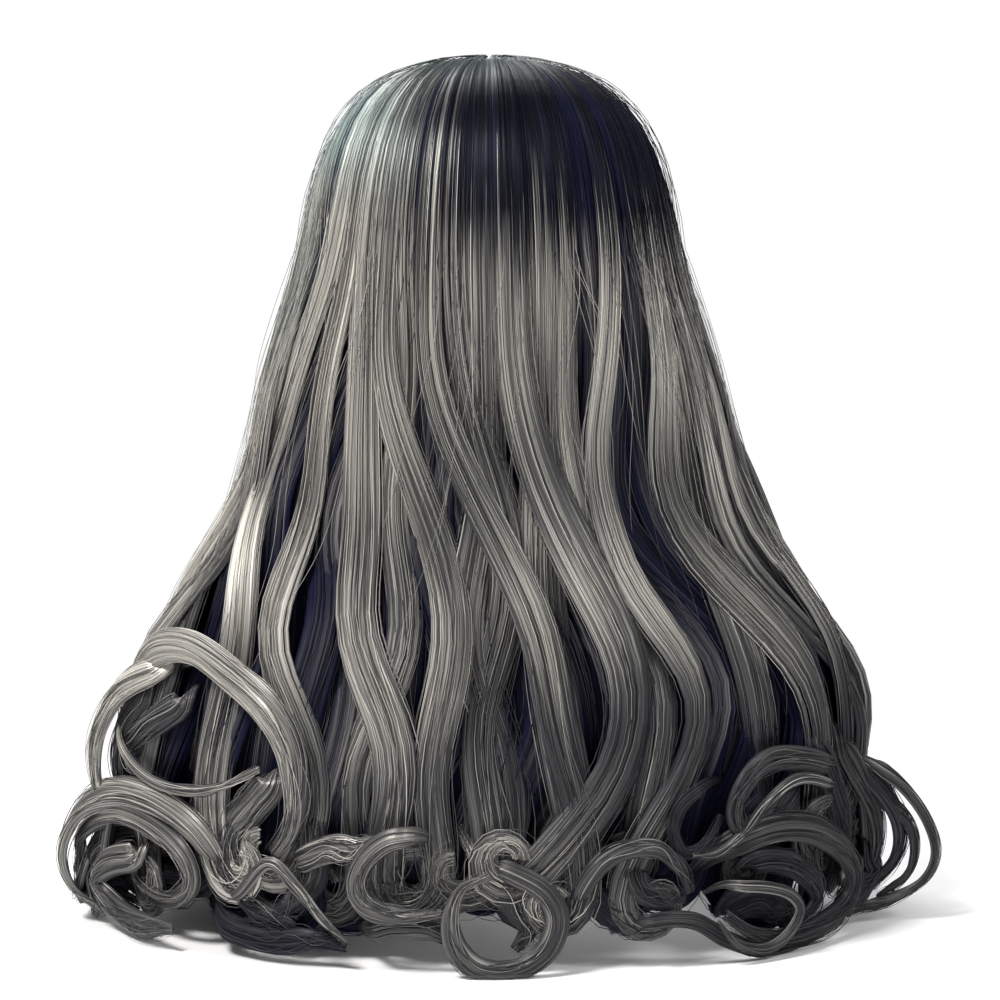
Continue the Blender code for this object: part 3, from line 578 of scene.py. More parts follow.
def lockPaths(lock, a, b, drift, lift, crown):
    # a and b place each path in the lock's oval section, and it keeps that place from root to tip
    u, z, out = lockRows(lock)
    along = np.linspace(0, 1, u.size)
    a, b = a[:, None], b[:, None]
    tangent = unit(stacked(np.gradient(u), np.gradient(z)))
    width = lock["width"] * (0.74 + 0.26 * rampUp(along, 0.05, 0.35)) * (1 - 0.66 * rampUp(along, 0.60, 1.0))
    thick = lock["thick"] * (0.25 + 0.75 * rampUp(along, 0.04, 0.34)) * (1 - 0.60 * rampUp(along, 0.65, 1.0))
    lateral = a * width + drift(along)
    across = u - lateral * tangent[:, 1]
    height = np.maximum(z + lateral * tangent[:, 0] * rampUp(along, 0.02, 0.12), pathFloor)
    stand = out + b * thick + lift[:, None]
    # an arc's length over its reach from the axis is the angle that it turns through
    theta = lock["share"] * faceLimit(height)
    w, d = bellAt(height)
    theta = theta + across / np.sqrt((w * np.cos(theta)) ** 2 + (d * np.sin(theta)) ** 2)
    points = bellPoint(theta, height, stand)
    bellOut = bellNormal(theta, height)
    bellSide = unit(np.cross(np.gradient(points, axis=1), bellOut))
    normals = unit(bellOut * (np.abs(b) / thick)[..., None] - bellSide * (a / width)[..., None], 1e-9) + bellOut
    size = np.broadcast_to(1 - 0.75 * rampUp(along, 0.84, 1.0), theta.shape)
    if crown:
        t = np.linspace(0, 1, tresses["crownRows"] + 1)[:-1]
        rise = rampUp(t, 0, 0.30)
        sunk = rootSink(theta[:, :1])
        top = domePoint(crownWay(theta[:, 0], t), -sunk * (1 - rise) + stand[:, :1] * rise * (0.35 + 0.65 * t**2))
        points = np.concatenate([top, points], 1)
        normals = np.concatenate([unit(top), normals], 1)
        size = np.concatenate([size[:, :1] * (0.50 + 0.50 * rampUp(t, 0, 0.6)), size], 1)
    else:
        size = size * (0.3 + 0.7 * rampUp(along, 0, 0.06))
    for _ in range(3):  # take the corner out where the crown meets the fall
        points[:, 1:-1] = points[:, 1:-1] / 2 + (points[:, :-2] + points[:, 2:]) / 4
    # how far the lock bulges out, which is painted lighter as a highlight on the wave crests
    crest = np.concatenate([np.zeros(points.shape[1] - out.size), out - lock["depth"]])
    return points, normals, size, crest / 0.005


def wanderOf(rng, count, amount):
    # a slow sideways drift of its own for each path: a sine with its own pitch and start
    pitch, start = rng.uniform(1.4, 3.4, count)[:, None], rng.uniform(0, 6.28, count)[:, None]
    return lambda along: amount[:, None] * np.sin(along * pitch * 6.28 + start) * rampUp(along, 0.1, 0.9)


def ribbonMesh(rng, points, normals, size, width, thick, masks):
    shift = rng.uniform(0, uvRange, len(points))
    return sweptMesh(points, normals, ribbonSection, size * width, thick * np.sqrt(size), masks, shift)


def strandMesh(rng, points, normals, size, masks):
    width = size * (tresses["strandWidth"] * rng.uniform(0.6, 1.3, len(points))[:, None])
    return sweptMesh(points, normals, strandSection, width, width * 0.7, masks, rng.uniform(0, uvRange, len(points)))


def lockMesh(rng, lock, ribbons, strands, crown):
    # broad flat ribbons of hair side by side make the lock's body, and single strands lie over them
    a = (np.arange(ribbons) + 0.5 + rng.uniform(-0.3, 0.3, ribbons)) / ribbons * 2 - 1
    a *= 0.84
    b = 0.75 * np.sqrt(1 - a * a) + rng.uniform(-0.30, 0.10, ribbons)
    drift = wanderOf(rng, ribbons, rng.uniform(0.0005, 0.0022, ribbons))
    points, normals, size, crest = lockPaths(lock, a, b, drift, np.zeros(ribbons), crown)
    # the wave crests are painted lighter and less shaded, a painted highlight, and the edge ribbons take painted shade
    tone = (0.48 + lock["tone"] + rng.normal(0, 0.06, ribbons))[:, None] + 0.10 * crest
    jitter = rng.normal(0, 0.008, ribbons)[:, None]
    edges = 0.40 * rampUp(np.abs(a), 0.45, 0.95)[:, None]
    masks = hairMasks(points, tone, np.clip(lock["shade"] + edges - 0.12 * crest, 0, 1), jitter)
    width = tresses["ribbonWidth"] * lock["width"] / 0.0135 * rng.uniform(0.8, 1.25, ribbons)[:, None]
    parts = [ribbonMesh(rng, points, normals, size, width, tresses["ribbonThick"], masks)]
    if strands:
        a = rng.uniform(-1.12, 1.12, strands)
        b = 0.75 * np.sqrt(np.clip(1 - a * a, 0, 1)) + rng.uniform(-0.15, 0.12, strands)
        stray = rng.random(strands) < 0.20
        drift = wanderOf(rng, strands, np.where(stray, 0.0080, 0.0014))
        lift = tresses["ribbonThick"] / 2 + np.where(stray, 0.0022, 0.0002) * rng.uniform(0.2, 1.0, strands)
        points, normals, size, crest = lockPaths(lock, a, b, drift, lift, crown)
        # the strands take the same painted highlight on the crests
        tone = (0.54 + lock["tone"] + rng.normal(0, 0.16, strands))[:, None] + 0.10 * crest
        masks = hairMasks(points, tone, lock["shade"], rng.normal(0, 0.012, strands)[:, None])
        parts.append(strandMesh(rng, points, normals, size, masks))
    return parts


def tressShell(low, high, seed):
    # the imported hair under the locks: a rippled closed panel, 8.5 to 16.5 mm inside the bell. The ripple is a sum of
    # a coarse and a fine sine round the head, whose phases wander with the height
    columns, rows = 30, 90
    z = np.linspace(0.060, -0.330, rows)[:, None]
    share = np.linspace(low, high, columns)[None]
    theta = share * faceLimit(z)
    ripple = 0.0014 * np.sin(share * 130 + 1.7 * np.sin(-z * 30 + seed))
    ripple = ripple + 0.0008 * np.sin(share * 310 + seed + 9 * np.sin(-z * 22))
    sink = 0.0085 + 0.0080 * rampUp(-z, -0.02, 0.07)
    outer = bellPoint(theta, z, ripple - sink)
    inner = bellPoint(theta, z, ripple - sink - tresses["panelThick"])
    # the sheet is painted in deep shade, a dark sheet that fills the gaps between the locks
    deepShade = 0.94 - 0.36 * rampUp(np.abs(share), 0.90, 0.97)  # beside the face it is seen, and it is not in shade
    masks = stacked(darkRootLessSheen(outer, 0.0), 0.4, deepShade, 0.0)
    shape = closedPanel(inner, outer, stacked(share * 420, -z * 10), masks)
    # the inside face takes lighter painted shade
    shape["mask"][rows * columns:, 2] = 0.62  # the inside face, towards the neck, is combed hair too
    return shape


def buildTress(name, number, count):
    rng = np.random.default_rng(100 + number)
    low, high = -1 + 2 * number / count, -1 + 2 * (number + 1) / count
    parts = [tressShell(low, high, number * 1.3)]
    heroes = [lock for lock in heroLocks.values() if lock[0] == name]
    for outerLayer in (True, False):
        under = outerLayer and bool(heroes)
        locks = tresses["underLocks" if under else "outerLocks" if outerLayer else "innerLocks"]
        for i in range(locks):
            share = low + (high - low) * (i + 0.5 + rng.uniform(-0.25, 0.25)) / locks
            curlRadius = rng.uniform(0.016, 0.032)
            lock = {
                "share": share * 0.985,
                "end": tableZ + curlRadius * rng.uniform(1.1, 1.5) + rng.uniform(0.004, 0.040),
                "waveLength": tresses["waveLength"] * rng.uniform(0.92, 1.12),
                "phase": rng.uniform(0, 6.28),
                "sway": rng.uniform(0.7, 1.25) * (1 if share < 0.45 else -1),
                "swayPhase": 1.1 * abs(share) + rng.uniform(-0.55, 0.55),
                "across": tresses["waveAcross"] * rng.uniform(0.7, 1.5),
                "out": tresses["waveOut"] * rng.uniform(0.6, 1.2) * (1 if outerLayer else 0.4),
                "depth": (rng.uniform(-0.006, 0.0) - 0.010 * under) if outerLayer else -0.0225,
                "width": rng.uniform(0.0100, 0.0165),
                "thick": rng.uniform(0.0050, 0.0075),
                "curlRadius": curlRadius,
                "curlTurns": rng.uniform(0.55, 1.1),
                "curlSide": rng.choice([-1, 1]),
                "curlOut": rng.uniform(0.002, 0.010) if outerLayer else 0.0,
                "tone": rng.normal(0, 0.11),
                "shade": 0.82 * under if outerLayer else 0.20,
            }
            parts += lockMesh(rng, lock, *tresses["outerHair" if outerLayer else "innerHair"], outerLayer)
    for _, width, tone, depth, line in heroes:
        curlRadius = rng.uniform(0.016, 0.026)
        lock = {
            "share": 0.0,
            "line": line,
            "end": tableZ + curlRadius * 1.2 + rng.uniform(0.012, 0.035),
            "waveLength": tresses["waveLength"],
            "phase": rng.uniform(0, 6.28),
            "across": 0.006,
            "out": 0.0045,
            "depth": depth,
            "width": width,
            "thick": 0.0065,
            "curlRadius": curlRadius,
            "curlTurns": rng.uniform(0.5, 1.0),
            "curlSide": rng.choice([-1, 1]),
            "curlOut": rng.uniform(0.003, 0.010),
            "tone": tone,
            "shade": 0.0,
        }
        parts += lockMesh(rng, lock, *tresses["drawnHair"], True)
    addPiece("hair_" + name, joined(parts), hairFinish, name)


def crownShell(side):
    # the combed hair against the cap, from the parting down to the widest level, as a closed panel
    theta = side * np.linspace(0.0, 1.0, 60) * faceLimit(brim)
    t = np.linspace(0.0, 1.0, 40)
    way = np.swapaxes(crownWay(theta, t, side * 1e-3), 0, 1)
    t = t[:, None]
    ripple = 0.0008 * np.sin(theta * 70 + 3 * t) + 0.0005 * np.sin(theta * 190)
    sink = -0.0075 - (rootSink(theta) + 0.002) * (1 - rampUp(t, 0, 0.3)) + ripple * t
    outer, inner = domePoint(way, sink), domePoint(way, sink - tresses["panelThick"])
    # the panel is mixed nearly half with painted shade
    grids = [inner, outer, stacked(theta * 120, t * 1.6), hairMasks(outer, 0.45, 0.45, 0.0)]
    return closedPanel(*(grid[:, ::-1] for grid in grids)) if side > 0 else closedPanel(*grids)


flyaways = {"count": 80, "crownRows": 14, "rows": 28, "width": 0.00042}


def flyawayStrands(rng, side):
    # single hairs that stand off the crown and the sides by a few millimetres and bow back in
    count = flyaways["count"]

    def drawn(low, high):
        return rng.uniform(low, high, count)[:, None]

    theta = side * drawn(0.05, 2.45)
    t = np.linspace(0.0, 1.0, flyaways["crownRows"])
    stand = drawn(0.001, 0.008)
    lift = stand * np.sin(np.pi * np.clip(t * drawn(0.5, 1.0), 0, 1)) * t
    lift = lift - rootSink(theta) * (1 - rampUp(t, 0, 0.3))
    top = domePoint(crownWay(theta[:, 0], t), lift)
    down = np.linspace(0, 1, flyaways["rows"])[None, 1:]
    z = brim - drawn(0.10, 0.30) * down
    swing = drawn(0.004, 0.012) * np.sin(down * drawn(3, 7) + drawn(0, 6))
    turned = theta * faceLimit(z) / faceLimit(brim) + (swing - swing[:, :1]) / 0.13
    out = lift[:, -1:] * (1 - down) + stand * 0.9 * np.sin(down * np.pi * 0.9)
    points = np.concatenate([top, bellPoint(turned, z, out)], 1)
    normals = np.concatenate([unit(top), bellNormal(turned, z)], 1)
    size = flyaways["width"] * np.ones(points.shape[:2]) * (1 - 0.6 * np.linspace(0, 1, points.shape[1]) ** 2)
    masks = hairMasks(points, 0.35 + 0.4 * rng.random(count)[:, None], 0.0, 0.0)
    return sweptMesh(points, normals, strandSection, size, size, masks, rng.uniform(0, uvRange, count))


for name, side, seed in (("crown_hair_left", 1, 31), ("crown_hair_right", -1, 32)):
    shape = joined([crownShell(side), flyawayStrands(np.random.default_rng(seed), side)])
    addPiece("hair_" + name, shape, hairFinish, name)
print("crown made")

tressNames = ["tress_right_%d" % (i + 1) for i in range(7)] + ["tress_left_%d" % (7 - i) for i in range(7)]
for i, tressName in enumerate(tressNames):
    buildTress(tressName, i, len(tressNames))
print("tresses made")

# loops at the hem of the back, drawn one by one: each one's half width and tone, how far it stands off the bell at its
# start and at its end, and then the points along it, in millimetres across and up
drawnLoops = {
    "curl_shoulder_left": {
        "arch": (0.0095, 0.12, 0.006, 0.01, [(203, -234), (199, -211), (185, -195), (166, -192), (145, -203),
            (124, -219), (111, -240), (107, -264), (110, -286), (119, -302)]),
        "leftEdge": (0.0085, 0.2, 0.004, 0.006, [(168, -203), (190, -209), (208, -223), (219, -244), (223, -265),
            (221, -286), (214, -302)]),
        "inner": (0.0085, -0.12, 0.0, 0.0, [(161, -214), (176, -227), (192, -242), (203, -258), (197, -273),
            (181, -276)]),
        "cross": (0.0028, 0.14, 0.01, 0.012, [(211, -234), (210, -251), (201, -264), (185, -271), (166, -271),
            (146, -264), (128, -253)]),
        "behind": (0.011, -0.12, -0.006, -0.002, [(182, -212), (198, -228), (208, -250), (210, -275), (203, -298)]),
        "below": (0.01, 0.0, -0.004, 0.0, [(117, -251), (124, -265), (137, -282), (150, -300), (161, -317)]),
    },
    "curl_corner_left": {
        "outer": (0.0085, 0.14, 0.004, 0.014, [(146, -338), (150, -317), (163, -295), (183, -283), (205, -282),
            (225, -290), (238, -307), (243, -327), (236, -346), (219, -358)]),
        "inner": (0.0065, 0.02, 0.01, 0.008, [(236, -331), (234, -313), (221, -300), (203, -295), (185, -299),
            (171, -311), (167, -326), (176, -338), (190, -340), (200, -333), (200, -323)]),
        "front": (0.009, 0.06, 0.012, 0.024, [(183, -315), (201, -318), (216, -326), (222, -338), (213, -350),
            (195, -356), (176, -351)]),
        "behind": (0.013, -0.2, -0.008, 0.0, [(160, -292), (185, -300), (208, -306), (224, -321), (220, -341),
            (200, -351)]),
        "under": (0.011, -0.26, -0.01, -0.004, [(150, -322), (175, -331), (203, -336), (222, -343)]),
    },
    "curl_back_left": {
        "bridge": (0.003, 0.06, 0.014, 0.016, [(152, -340), (139, -324), (123, -306), (108, -318), (93, -335),
            (79, -348)]),
        "floor": (0.007, -0.25, 0.006, 0.01, [(161, -338), (146, -349), (124, -352), (99, -349), (79, -351)]),
        "fall": (0.0085, -0.12, -0.002, 0.004, [(135, -273), (146, -298), (143, -320), (128, -335), (108, -342)]),
        "hook": (0.009, -0.15, -0.003, 0.004, [(103, -273), (98, -307), (106, -326), (121, -338)]),
    },
    "curl_back_small": {
        "hook": (0.0055, 0.1, 0.012, 0.018, [(28, -296), (39, -288), (55, -289), (68, -300), (73, -315), (66, -327),
            (48, -331), (24, -328)]),
        "band": (0.007, 0.08, 0.004, 0.01, [(114, -311), (90, -298), (73, -296), (57, -290)]),
        "floor": (0.0065, -0.14, 0.008, 0.012, [(73, -346), (53, -338), (33, -338), (15, -348)]),
    },
    "curl_back_centre": {
        "ring": (0.0055, 0.08, 0.01, 0.022, [(17, -284), (6, -300), (-13, -306), (-31, -317), (-38, -333),
            (-31, -351), (-14, -361), (6, -360), (18, -348), (21, -329), (15, -313), (0, -305)]),
        "inside": (0.006, -0.1, 0.006, 0.008, [(9, -311), (-5, -313), (-14, -326), (-22, -340), (-14, -351)]),
    },
    "curl_back_right": {
        "arc": (0.0052, 0.05, 0.012, 0.014, [(-47, -338), (-51, -317), (-62, -302), (-76, -295), (-93, -296),
            (-105, -307), (-111, -322)]),
        "inside": (0.0065, 0.0, 0.006, 0.01, [(-80, -300), (-82, -315), (-93, -324), (-109, -326)]),
        "floor": (0.0045, -0.02, 0.014, 0.018, [(-67, -346), (-89, -337), (-113, -338), (-133, -351), (-155, -361),
            (-173, -363), (-191, -357)]),
        "fill": (0.008, -0.3, 0.002, 0.006, [(-54, -311), (-64, -329), (-80, -340), (-96, -344)]),
    },
    "curl_corner_right": {
        "spiral": (0.008, 0.0, 0.008, 0.02, [(-107, -326), (-122, -307), (-140, -296), (-162, -291), (-184, -296),
            (-202, -311), (-211, -329), (-206, -347), (-188, -354), (-166, -355), (-146, -348), (-131, -336)]),
        "ring": (0.0032, 0.14, 0.022, 0.026, [(-120, -326), (-133, -320), (-151, -321), (-168, -327), (-176, -338),
            (-169, -351), (-155, -357), (-138, -351), (-127, -337)]),
        "inner": (0.007, -0.12, 0.01, 0.012, [(-133, -317), (-151, -309), (-169, -313), (-184, -326), (-188, -340),
            (-177, -349)]),
        "fill": (0.01, -0.22, 0.006, 0.008, [(-126, -340), (-146, -331), (-164, -338), (-177, -346)]),
    },
    "curl_shoulder_right": {
        "arch": (0.0062, 0.02, 0.006, 0.014, [(-211, -275), (-197, -263), (-177, -254), (-158, -252), (-145, -260),
            (-137, -275), (-140, -289), (-151, -282)]),
        "sweep": (0.003, 0.08, 0.012, 0.016, [(-210, -284), (-191, -269), (-173, -265), (-155, -276), (-142, -291),
            (-127, -301), (-113, -300)]),
        "small": (0.0035, -0.12, 0.006, 0.008, [(-133, -265), (-120, -264), (-107, -273), (-102, -287), (-109, -300),
            (-122, -295), (-129, -280)]),
        "fill": (0.01, -0.1, 0.004, 0.006, [(-179, -269), (-164, -284), (-155, -295), (-158, -307)]),
    },
    "curl_side_right": {
        "edge": (0.0056, 0.06, 0.004, 0.01, [(-204, -258), (-224, -267), (-242, -280), (-257, -300), (-264, -322),
            (-257, -340), (-237, -352), (-211, -356)]),
        "middle": (0.0062, -0.03, 0.004, 0.008, [(-213, -287), (-231, -289), (-246, -302), (-251, -320), (-246, -338),
            (-230, -349)]),
        "fallOuter": (0.01, 0.0, 0.002, 0.006, [(-196, -236), (-212, -266), (-226, -296), (-228, -322),
            (-218, -344)]),
        "behind": (0.011, -0.14, 0.0, 0.004, [(-208, -258), (-227, -278), (-241, -303), (-240, -326), (-226, -345)]),
        "fallInner": (0.011, -0.08, 0.002, 0.006, [(-180, -232), (-200, -282), (-206, -312), (-196, -338)]),
        "inside": (0.01, -0.1, 0.006, 0.01, [(-219, -313), (-226, -331), (-217, -344), (-200, -349)]),
    },
}

# the other curls: which way each faces, the side that the hair comes down on, its turns, its lead, which is how far
# above it the hair joins, and its tone
curls = {
    "curl_side_left": {"facing": 88, "side": -1, "turns": 1.5, "lead": 0.10, "tone": 0.05},
    "curl_front_left": {"facing": 130, "side": 1, "turns": 1.5, "lead": 0.11, "tone": 0.0},
    "curl_front_right": {"facing": -108, "side": 1, "turns": 1.5, "lead": 0.10, "tone": -0.05},
    "curl_face_right": {"facing": -145, "side": -1, "turns": 1.4, "lead": 0.10, "tone": 0.0},
}
curlShape = {"leadRows": 14, "ringRows": 42, "halfAcross": 0.0095, "bundles": 4, "thick": 0.0065}


def smoothPath(knots, rows):
    # a Catmull-Rom spline through the knots, read at even steps of its length
    padded = np.concatenate([2 * knots[:1] - knots[1:2], knots, 2 * knots[-1:] - knots[-2:-1]])
    share = np.linspace(0, len(knots) - 1.0001, 400)
    first = share.astype(int)
    t = (share - first)[:, None]
    p0, p1, p2, p3 = (padded[first + i] for i in range(4))
    line = 0.5 * (
        2 * p1 + (p2 - p0) * t + (2 * p0 - 5 * p1 + 4 * p2 - p3) * t**2 + (3 * p1 - p0 - 3 * p2 + p3) * t**3)
    length = np.concatenate([[0], np.cumsum(np.linalg.norm(np.diff(line, axis=0), axis=1))])
    return np.stack([np.interp(np.linspace(0, length[-1], rows), length, column) for column in line.T], -1)


def bundlePaths(path, front, half, thick, a, b, drift, lift):
    # a and b place each path in the bundle's oval section; front is the way that its broad face looks
    along = np.linspace(0, 1, len(path))
    a, b = a[:, None], b[:, None]
    inPlane = unit(np.cross(front, unit(np.gradient(path, axis=0))))
    across = half * (0.50 + 0.50 * rampUp(along, 0, 0.22)) * (1 - 0.60 * rampUp(along, 0.55, 1.0))
    thick = (0.002 + (thick - 0.002) * rampUp(along, 0.02, 0.3)) * (1 - 0.55 * rampUp(along, 0.6, 1.0))
    moved = (a * across + drift(along))[..., None]
    points = path + inPlane * moved + front * (b * thick + lift[:, None])[..., None]
    points[..., 2] = np.maximum(points[..., 2], pathFloor)
    normals = unit(inPlane * (a / across)[..., None] + front * (b / thick)[..., None], 1e-9) + front * 0.9
    size = (0.12 + 0.88 * rampUp(along, 0, 0.14)) * (1 - 0.78 * rampUp(along, 0.80, 1.0))
    return points, normals, np.broadcast_to(size, points.shape[:2])


def bundleMesh(rng, path, front, half, tone, deepShade, light):
    # one lock along a path: flat ribbons side by side, single strands over them, and a few strands that stray
    front = np.broadcast_to(front, path.shape)
    count = max(3, round(half / 0.0020))
    a = ((np.arange(count) + 0.5) / count * 2 - 1) * 0.86 + rng.uniform(-0.12, 0.12, count)
    b = 0.8 * np.sqrt(np.clip(1 - a * a, 0, 1)) + rng.uniform(-0.3, 0.1, count)
    thick = min(curlShape["thick"], half * 0.8)
    drift = wanderOf(rng, count, rng.uniform(0.02, 0.22, count) * half)
    points, normals, size = bundlePaths(path, front, half, thick, a, b, drift, np.zeros(count))
    own = (0.48 + tone + rng.normal(0, 0.08, count))[:, None] + light
    # the edge ribbons take painted shade
    edges = 0.38 * rampUp(np.abs(a), 0.45, 0.95)[:, None]
    masks = hairMasks(points, own, np.clip(deepShade + edges, 0, 1), 0.0)
    width = half / count * 3.3 * rng.uniform(0.85, 1.3, count)[:, None]
    body = min(tresses["ribbonThick"], half * 0.5)
    parts = [ribbonMesh(rng, points, normals, size, width, body, masks)]
    count = int(14 + half * 2700)
    a = rng.uniform(-1.15, 1.15, count)
    b = 0.8 * np.sqrt(np.clip(1 - a * a, 0, 1)) + rng.uniform(-0.2, 0.15, count)
    stray = rng.random(count) < 0.30
    slack = min(1.0, half / 0.009)
    drift = wanderOf(rng, count, np.where(stray, 0.0042, 0.0010) * slack)
    lift = body / 2 + np.where(stray, 0.0022, 0.0003) * slack * rng.uniform(0.2, 1, count)
    points, normals, size = bundlePaths(path, front, half, thick, a, b, drift, lift)
    own = (0.54 + tone + rng.normal(0, 0.16, count))[:, None] + light
    return parts + [strandMesh(rng, points, normals, size, hairMasks(points, own, deepShade, 0.0))]


def drawnMesh(rng, loops):
    parts = []
    for half, tone, standStart, standEnd, knots in loops.values():
        x, z = smoothPath(np.array(knots) / 1000, 12 + 5 * len(knots)).T
        x = x * (1 + 0.04 * rampUp(x, 0.13, 0.22))
        along = np.linspace(0, 1, len(x))
        # it starts under the locks, rides out to its own height and keeps clear of the bell there
        out = standStart + (standEnd - standStart) * along - 0.020 * (1 - rampUp(along, 0, 0.20))
        w, d = bellAt(z)
        # past 0.88 of the bell's half width the share is eased by a tanh, so a loop turns the corner smoothly
        share = np.abs(x) / (w + out)
        share = np.where(share < 0.88, share, 0.88 + 0.10 * np.tanh((share - 0.88) / 0.10))
        theta = np.arcsin(share) * np.sign(x)
        path = np.stack([x, (d + out) * np.cos(theta), z], -1)
        # the arcs that face up catch the light
        rise = np.gradient(z) / (np.hypot(np.gradient(x), np.gradient(z)) + 1e-9)
        height = (z - z.min()) / max(z.max() - z.min(), 1e-6)
        light = 0.22 * (1 - np.abs(rise)) * (height - 0.35)
        # a loop listed with a darker tone, one that lies behind or under, also takes that much painted shade
        parts += bundleMesh(rng, path, bellNormal(theta, z), half, tone, max(0.0, -tone), light)
    return joined(parts)


def curlMesh(rng, centre, radius, curl):
    # locks come down, meet the ring on one side and wind in as loose loops, each of its own size and a little askew
    parts = []
    for bundle in range(curlShape["bundles"]):
        loose = bundle > 0
        facing = np.radians(curl["facing"] + rng.uniform(-22, 22) * loose)
        pitch = rng.uniform(-0.35, 0.35) * loose
        level = np.array([np.cos(facing), -np.sin(facing), 0.0]) * curl["side"] * (-1 if bundle == 2 else 1)
        flat = np.array([np.sin(facing), np.cos(facing), 0.0])
        up = np.array([0.0, 0.0, np.cos(pitch)]) + flat * np.sin(pitch)
        front = flat * np.cos(pitch) - np.array([0.0, 0.0, np.sin(pitch)])
        half = min(curlShape["halfAcross"], radius * 0.26) * rng.uniform(0.55, 1.1)
        turn = np.linspace(0, 1, curlShape["ringRows"])
        angle = turn * curl["turns"] * rng.uniform(0.40, 0.60) * 2 * np.pi + rng.uniform(-0.7, 0.5) * loose
        oval = 1 + rng.uniform(0.03, 0.13) * np.cos(2 * angle + rng.uniform(0, 6.28))
        reach = (radius * (1 - 0.12 * bundle) - half) * (1 - rng.uniform(0.12, 0.34) * turn) * oval
        moved = (level * rng.uniform(-0.34, 0.34) - up * rng.uniform(-0.02, 0.20)) * radius * loose
        ring = centre + moved + reach[:, None] * (np.cos(angle)[:, None] * level - np.sin(angle)[:, None] * up)
        ring = ring + front * (0.0035 * (bundle - 2) + rng.uniform(0.004, 0.016) * turn)[:, None]
        # the lead: an eased curve from inside the bell above down to the ring
        drop = curl["lead"] * rng.uniform(0.85, 1.35)
        z = ring[0, 2] + drop
        w, d = bellAt(z)
        theta = np.arctan2(centre[0] / w, centre[1] / d)
        start = bellPoint(theta + curl["side"] * rng.uniform(-0.02, 0.07), np.array(z), -0.012)
        t = np.linspace(0, 1, curlShape["leadRows"] + 1)[:-1, None]
        lead = (
            (1 + 2 * t) * (1 - t) ** 2 * start + t * (1 - t) ** 2 * (-up + front * 0.35) * drop * 1.1
            + t * t * (3 - 2 * t) * ring[0] - t * t * (1 - t) * unit(ring[1] - ring[0]) * drop * 1.1
        )
        # painted highlight and shade round the ring, and more painted shade for each later bundle
        light = 0.16 * np.concatenate([np.zeros(curlShape["leadRows"]), -np.sin(angle + 0.6)])
        parts += bundleMesh(rng, np.concatenate([lead, ring]), front, half, curl["tone"], 0.08 * bundle, light)
    return joined(parts)


for seed, name in enumerate(list(drawnLoops) + list(curls)):
    rng = np.random.default_rng(500 + seed)
    if name in drawnLoops:
        shape = drawnMesh(rng, drawnLoops[name])
    else:
        low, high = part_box(name)
        shape = curlMesh(rng, np.array((low + high) / 2), (high.z - low.z) / 2, curls[name])
    addPiece("hair_" + name, shape, hairFinish, name)
print("curls made")

# the cap inside

head = {"width": 0.077, "depth": 0.098, "rise": 0.128, "drop": 0.150}
rimPlaces = [0, 30, 50, 64, 80, 104, 124, 180]
rimHeights = [-0.052, -0.050, -0.042, -0.018, 0.004, 0.004, 0.036, 0.052]
capBuild = {
    "thick": 0.0010,
    "layer": 0.0006,
    "frontBand": 0.020,
    "netHeight": 0.060,
    "seam": 0.0005,
    "stitchIn": 0.0028,
    "bindingLift": 0.0009,
    "bindingThick": 0.0018,
    "ribGap": 0.0012,
    "tapeHalf": 0.003,
    "tapeThick": 0.0020,
}
stitches = {"length": 0.0022, "gap": 0.0011, "thick": 0.00045, "slant": 0.0011, "rows": 5, "lift": 0.0001}


def rimHeight(azimuth):
    # the cap's lower edge by degrees round from the nape, eased between its points, alike on both sides
    a = np.abs(azimuth)
    a = np.where(a > 180, 360 - a, a)
    places, heights = np.array(rimPlaces, float), np.array(rimHeights)
    i = np.clip(np.searchsorted(places, a, side="right") - 1, 0, len(places) - 2)
    return heights[i] + (heights[i + 1] - heights[i]) * rampUp(a, places[i], places[i + 1])


def onHead(direction, offset):
    # the head is an ellipsoid with a longer lower half; offset is measured along its normal
    axes = stacked(head["width"], head["depth"], np.where(direction[..., 2] > 0, head["rise"], head["drop"]))
    return direction * axes + unit(direction / axes) * np.asarray(offset)[..., None]


def headAt(azimuth, height, offset):
    lift = height / np.where(height > 0, head["rise"], head["drop"])
    across = np.sqrt(np.clip(1 - lift * lift, 0, 1))
    turn = np.radians(azimuth)
    return onHead(stacked(across * np.sin(turn), across * np.cos(turn), lift), offset)


def gridPanel(across, up, low, high, relief):
    # a closed panel between two offsets from the head, with a fine relief on both faces; its uv map is in millimetres
    inner, outer = headAt(across, up, low - relief), headAt(across, up, high + relief)
    middle = (inner + outer) / 2
    stepAcross = np.linalg.norm(np.diff(middle, axis=1), axis=-1)
    stepUp = np.linalg.norm(np.diff(middle, axis=0), axis=-1)
    u = np.concatenate([np.zeros((len(middle), 1)), np.cumsum(stepAcross, 1)], 1)
    u = u - u[:, -1:] / 2
    v = np.concatenate([np.zeros((1, middle.shape[1])), np.cumsum(stepUp, 0)], 0)
    area = float((stepAcross[:-1] * (stepUp[:, :-1] + stepUp[:, 1:]) / 2).sum())
    shape = closedPanel(inner, outer, np.stack([u, v], -1) * 1000)
    return shape, area, float(u[:, -1].max() - u[:, 0].min()), float(v[-1].max())


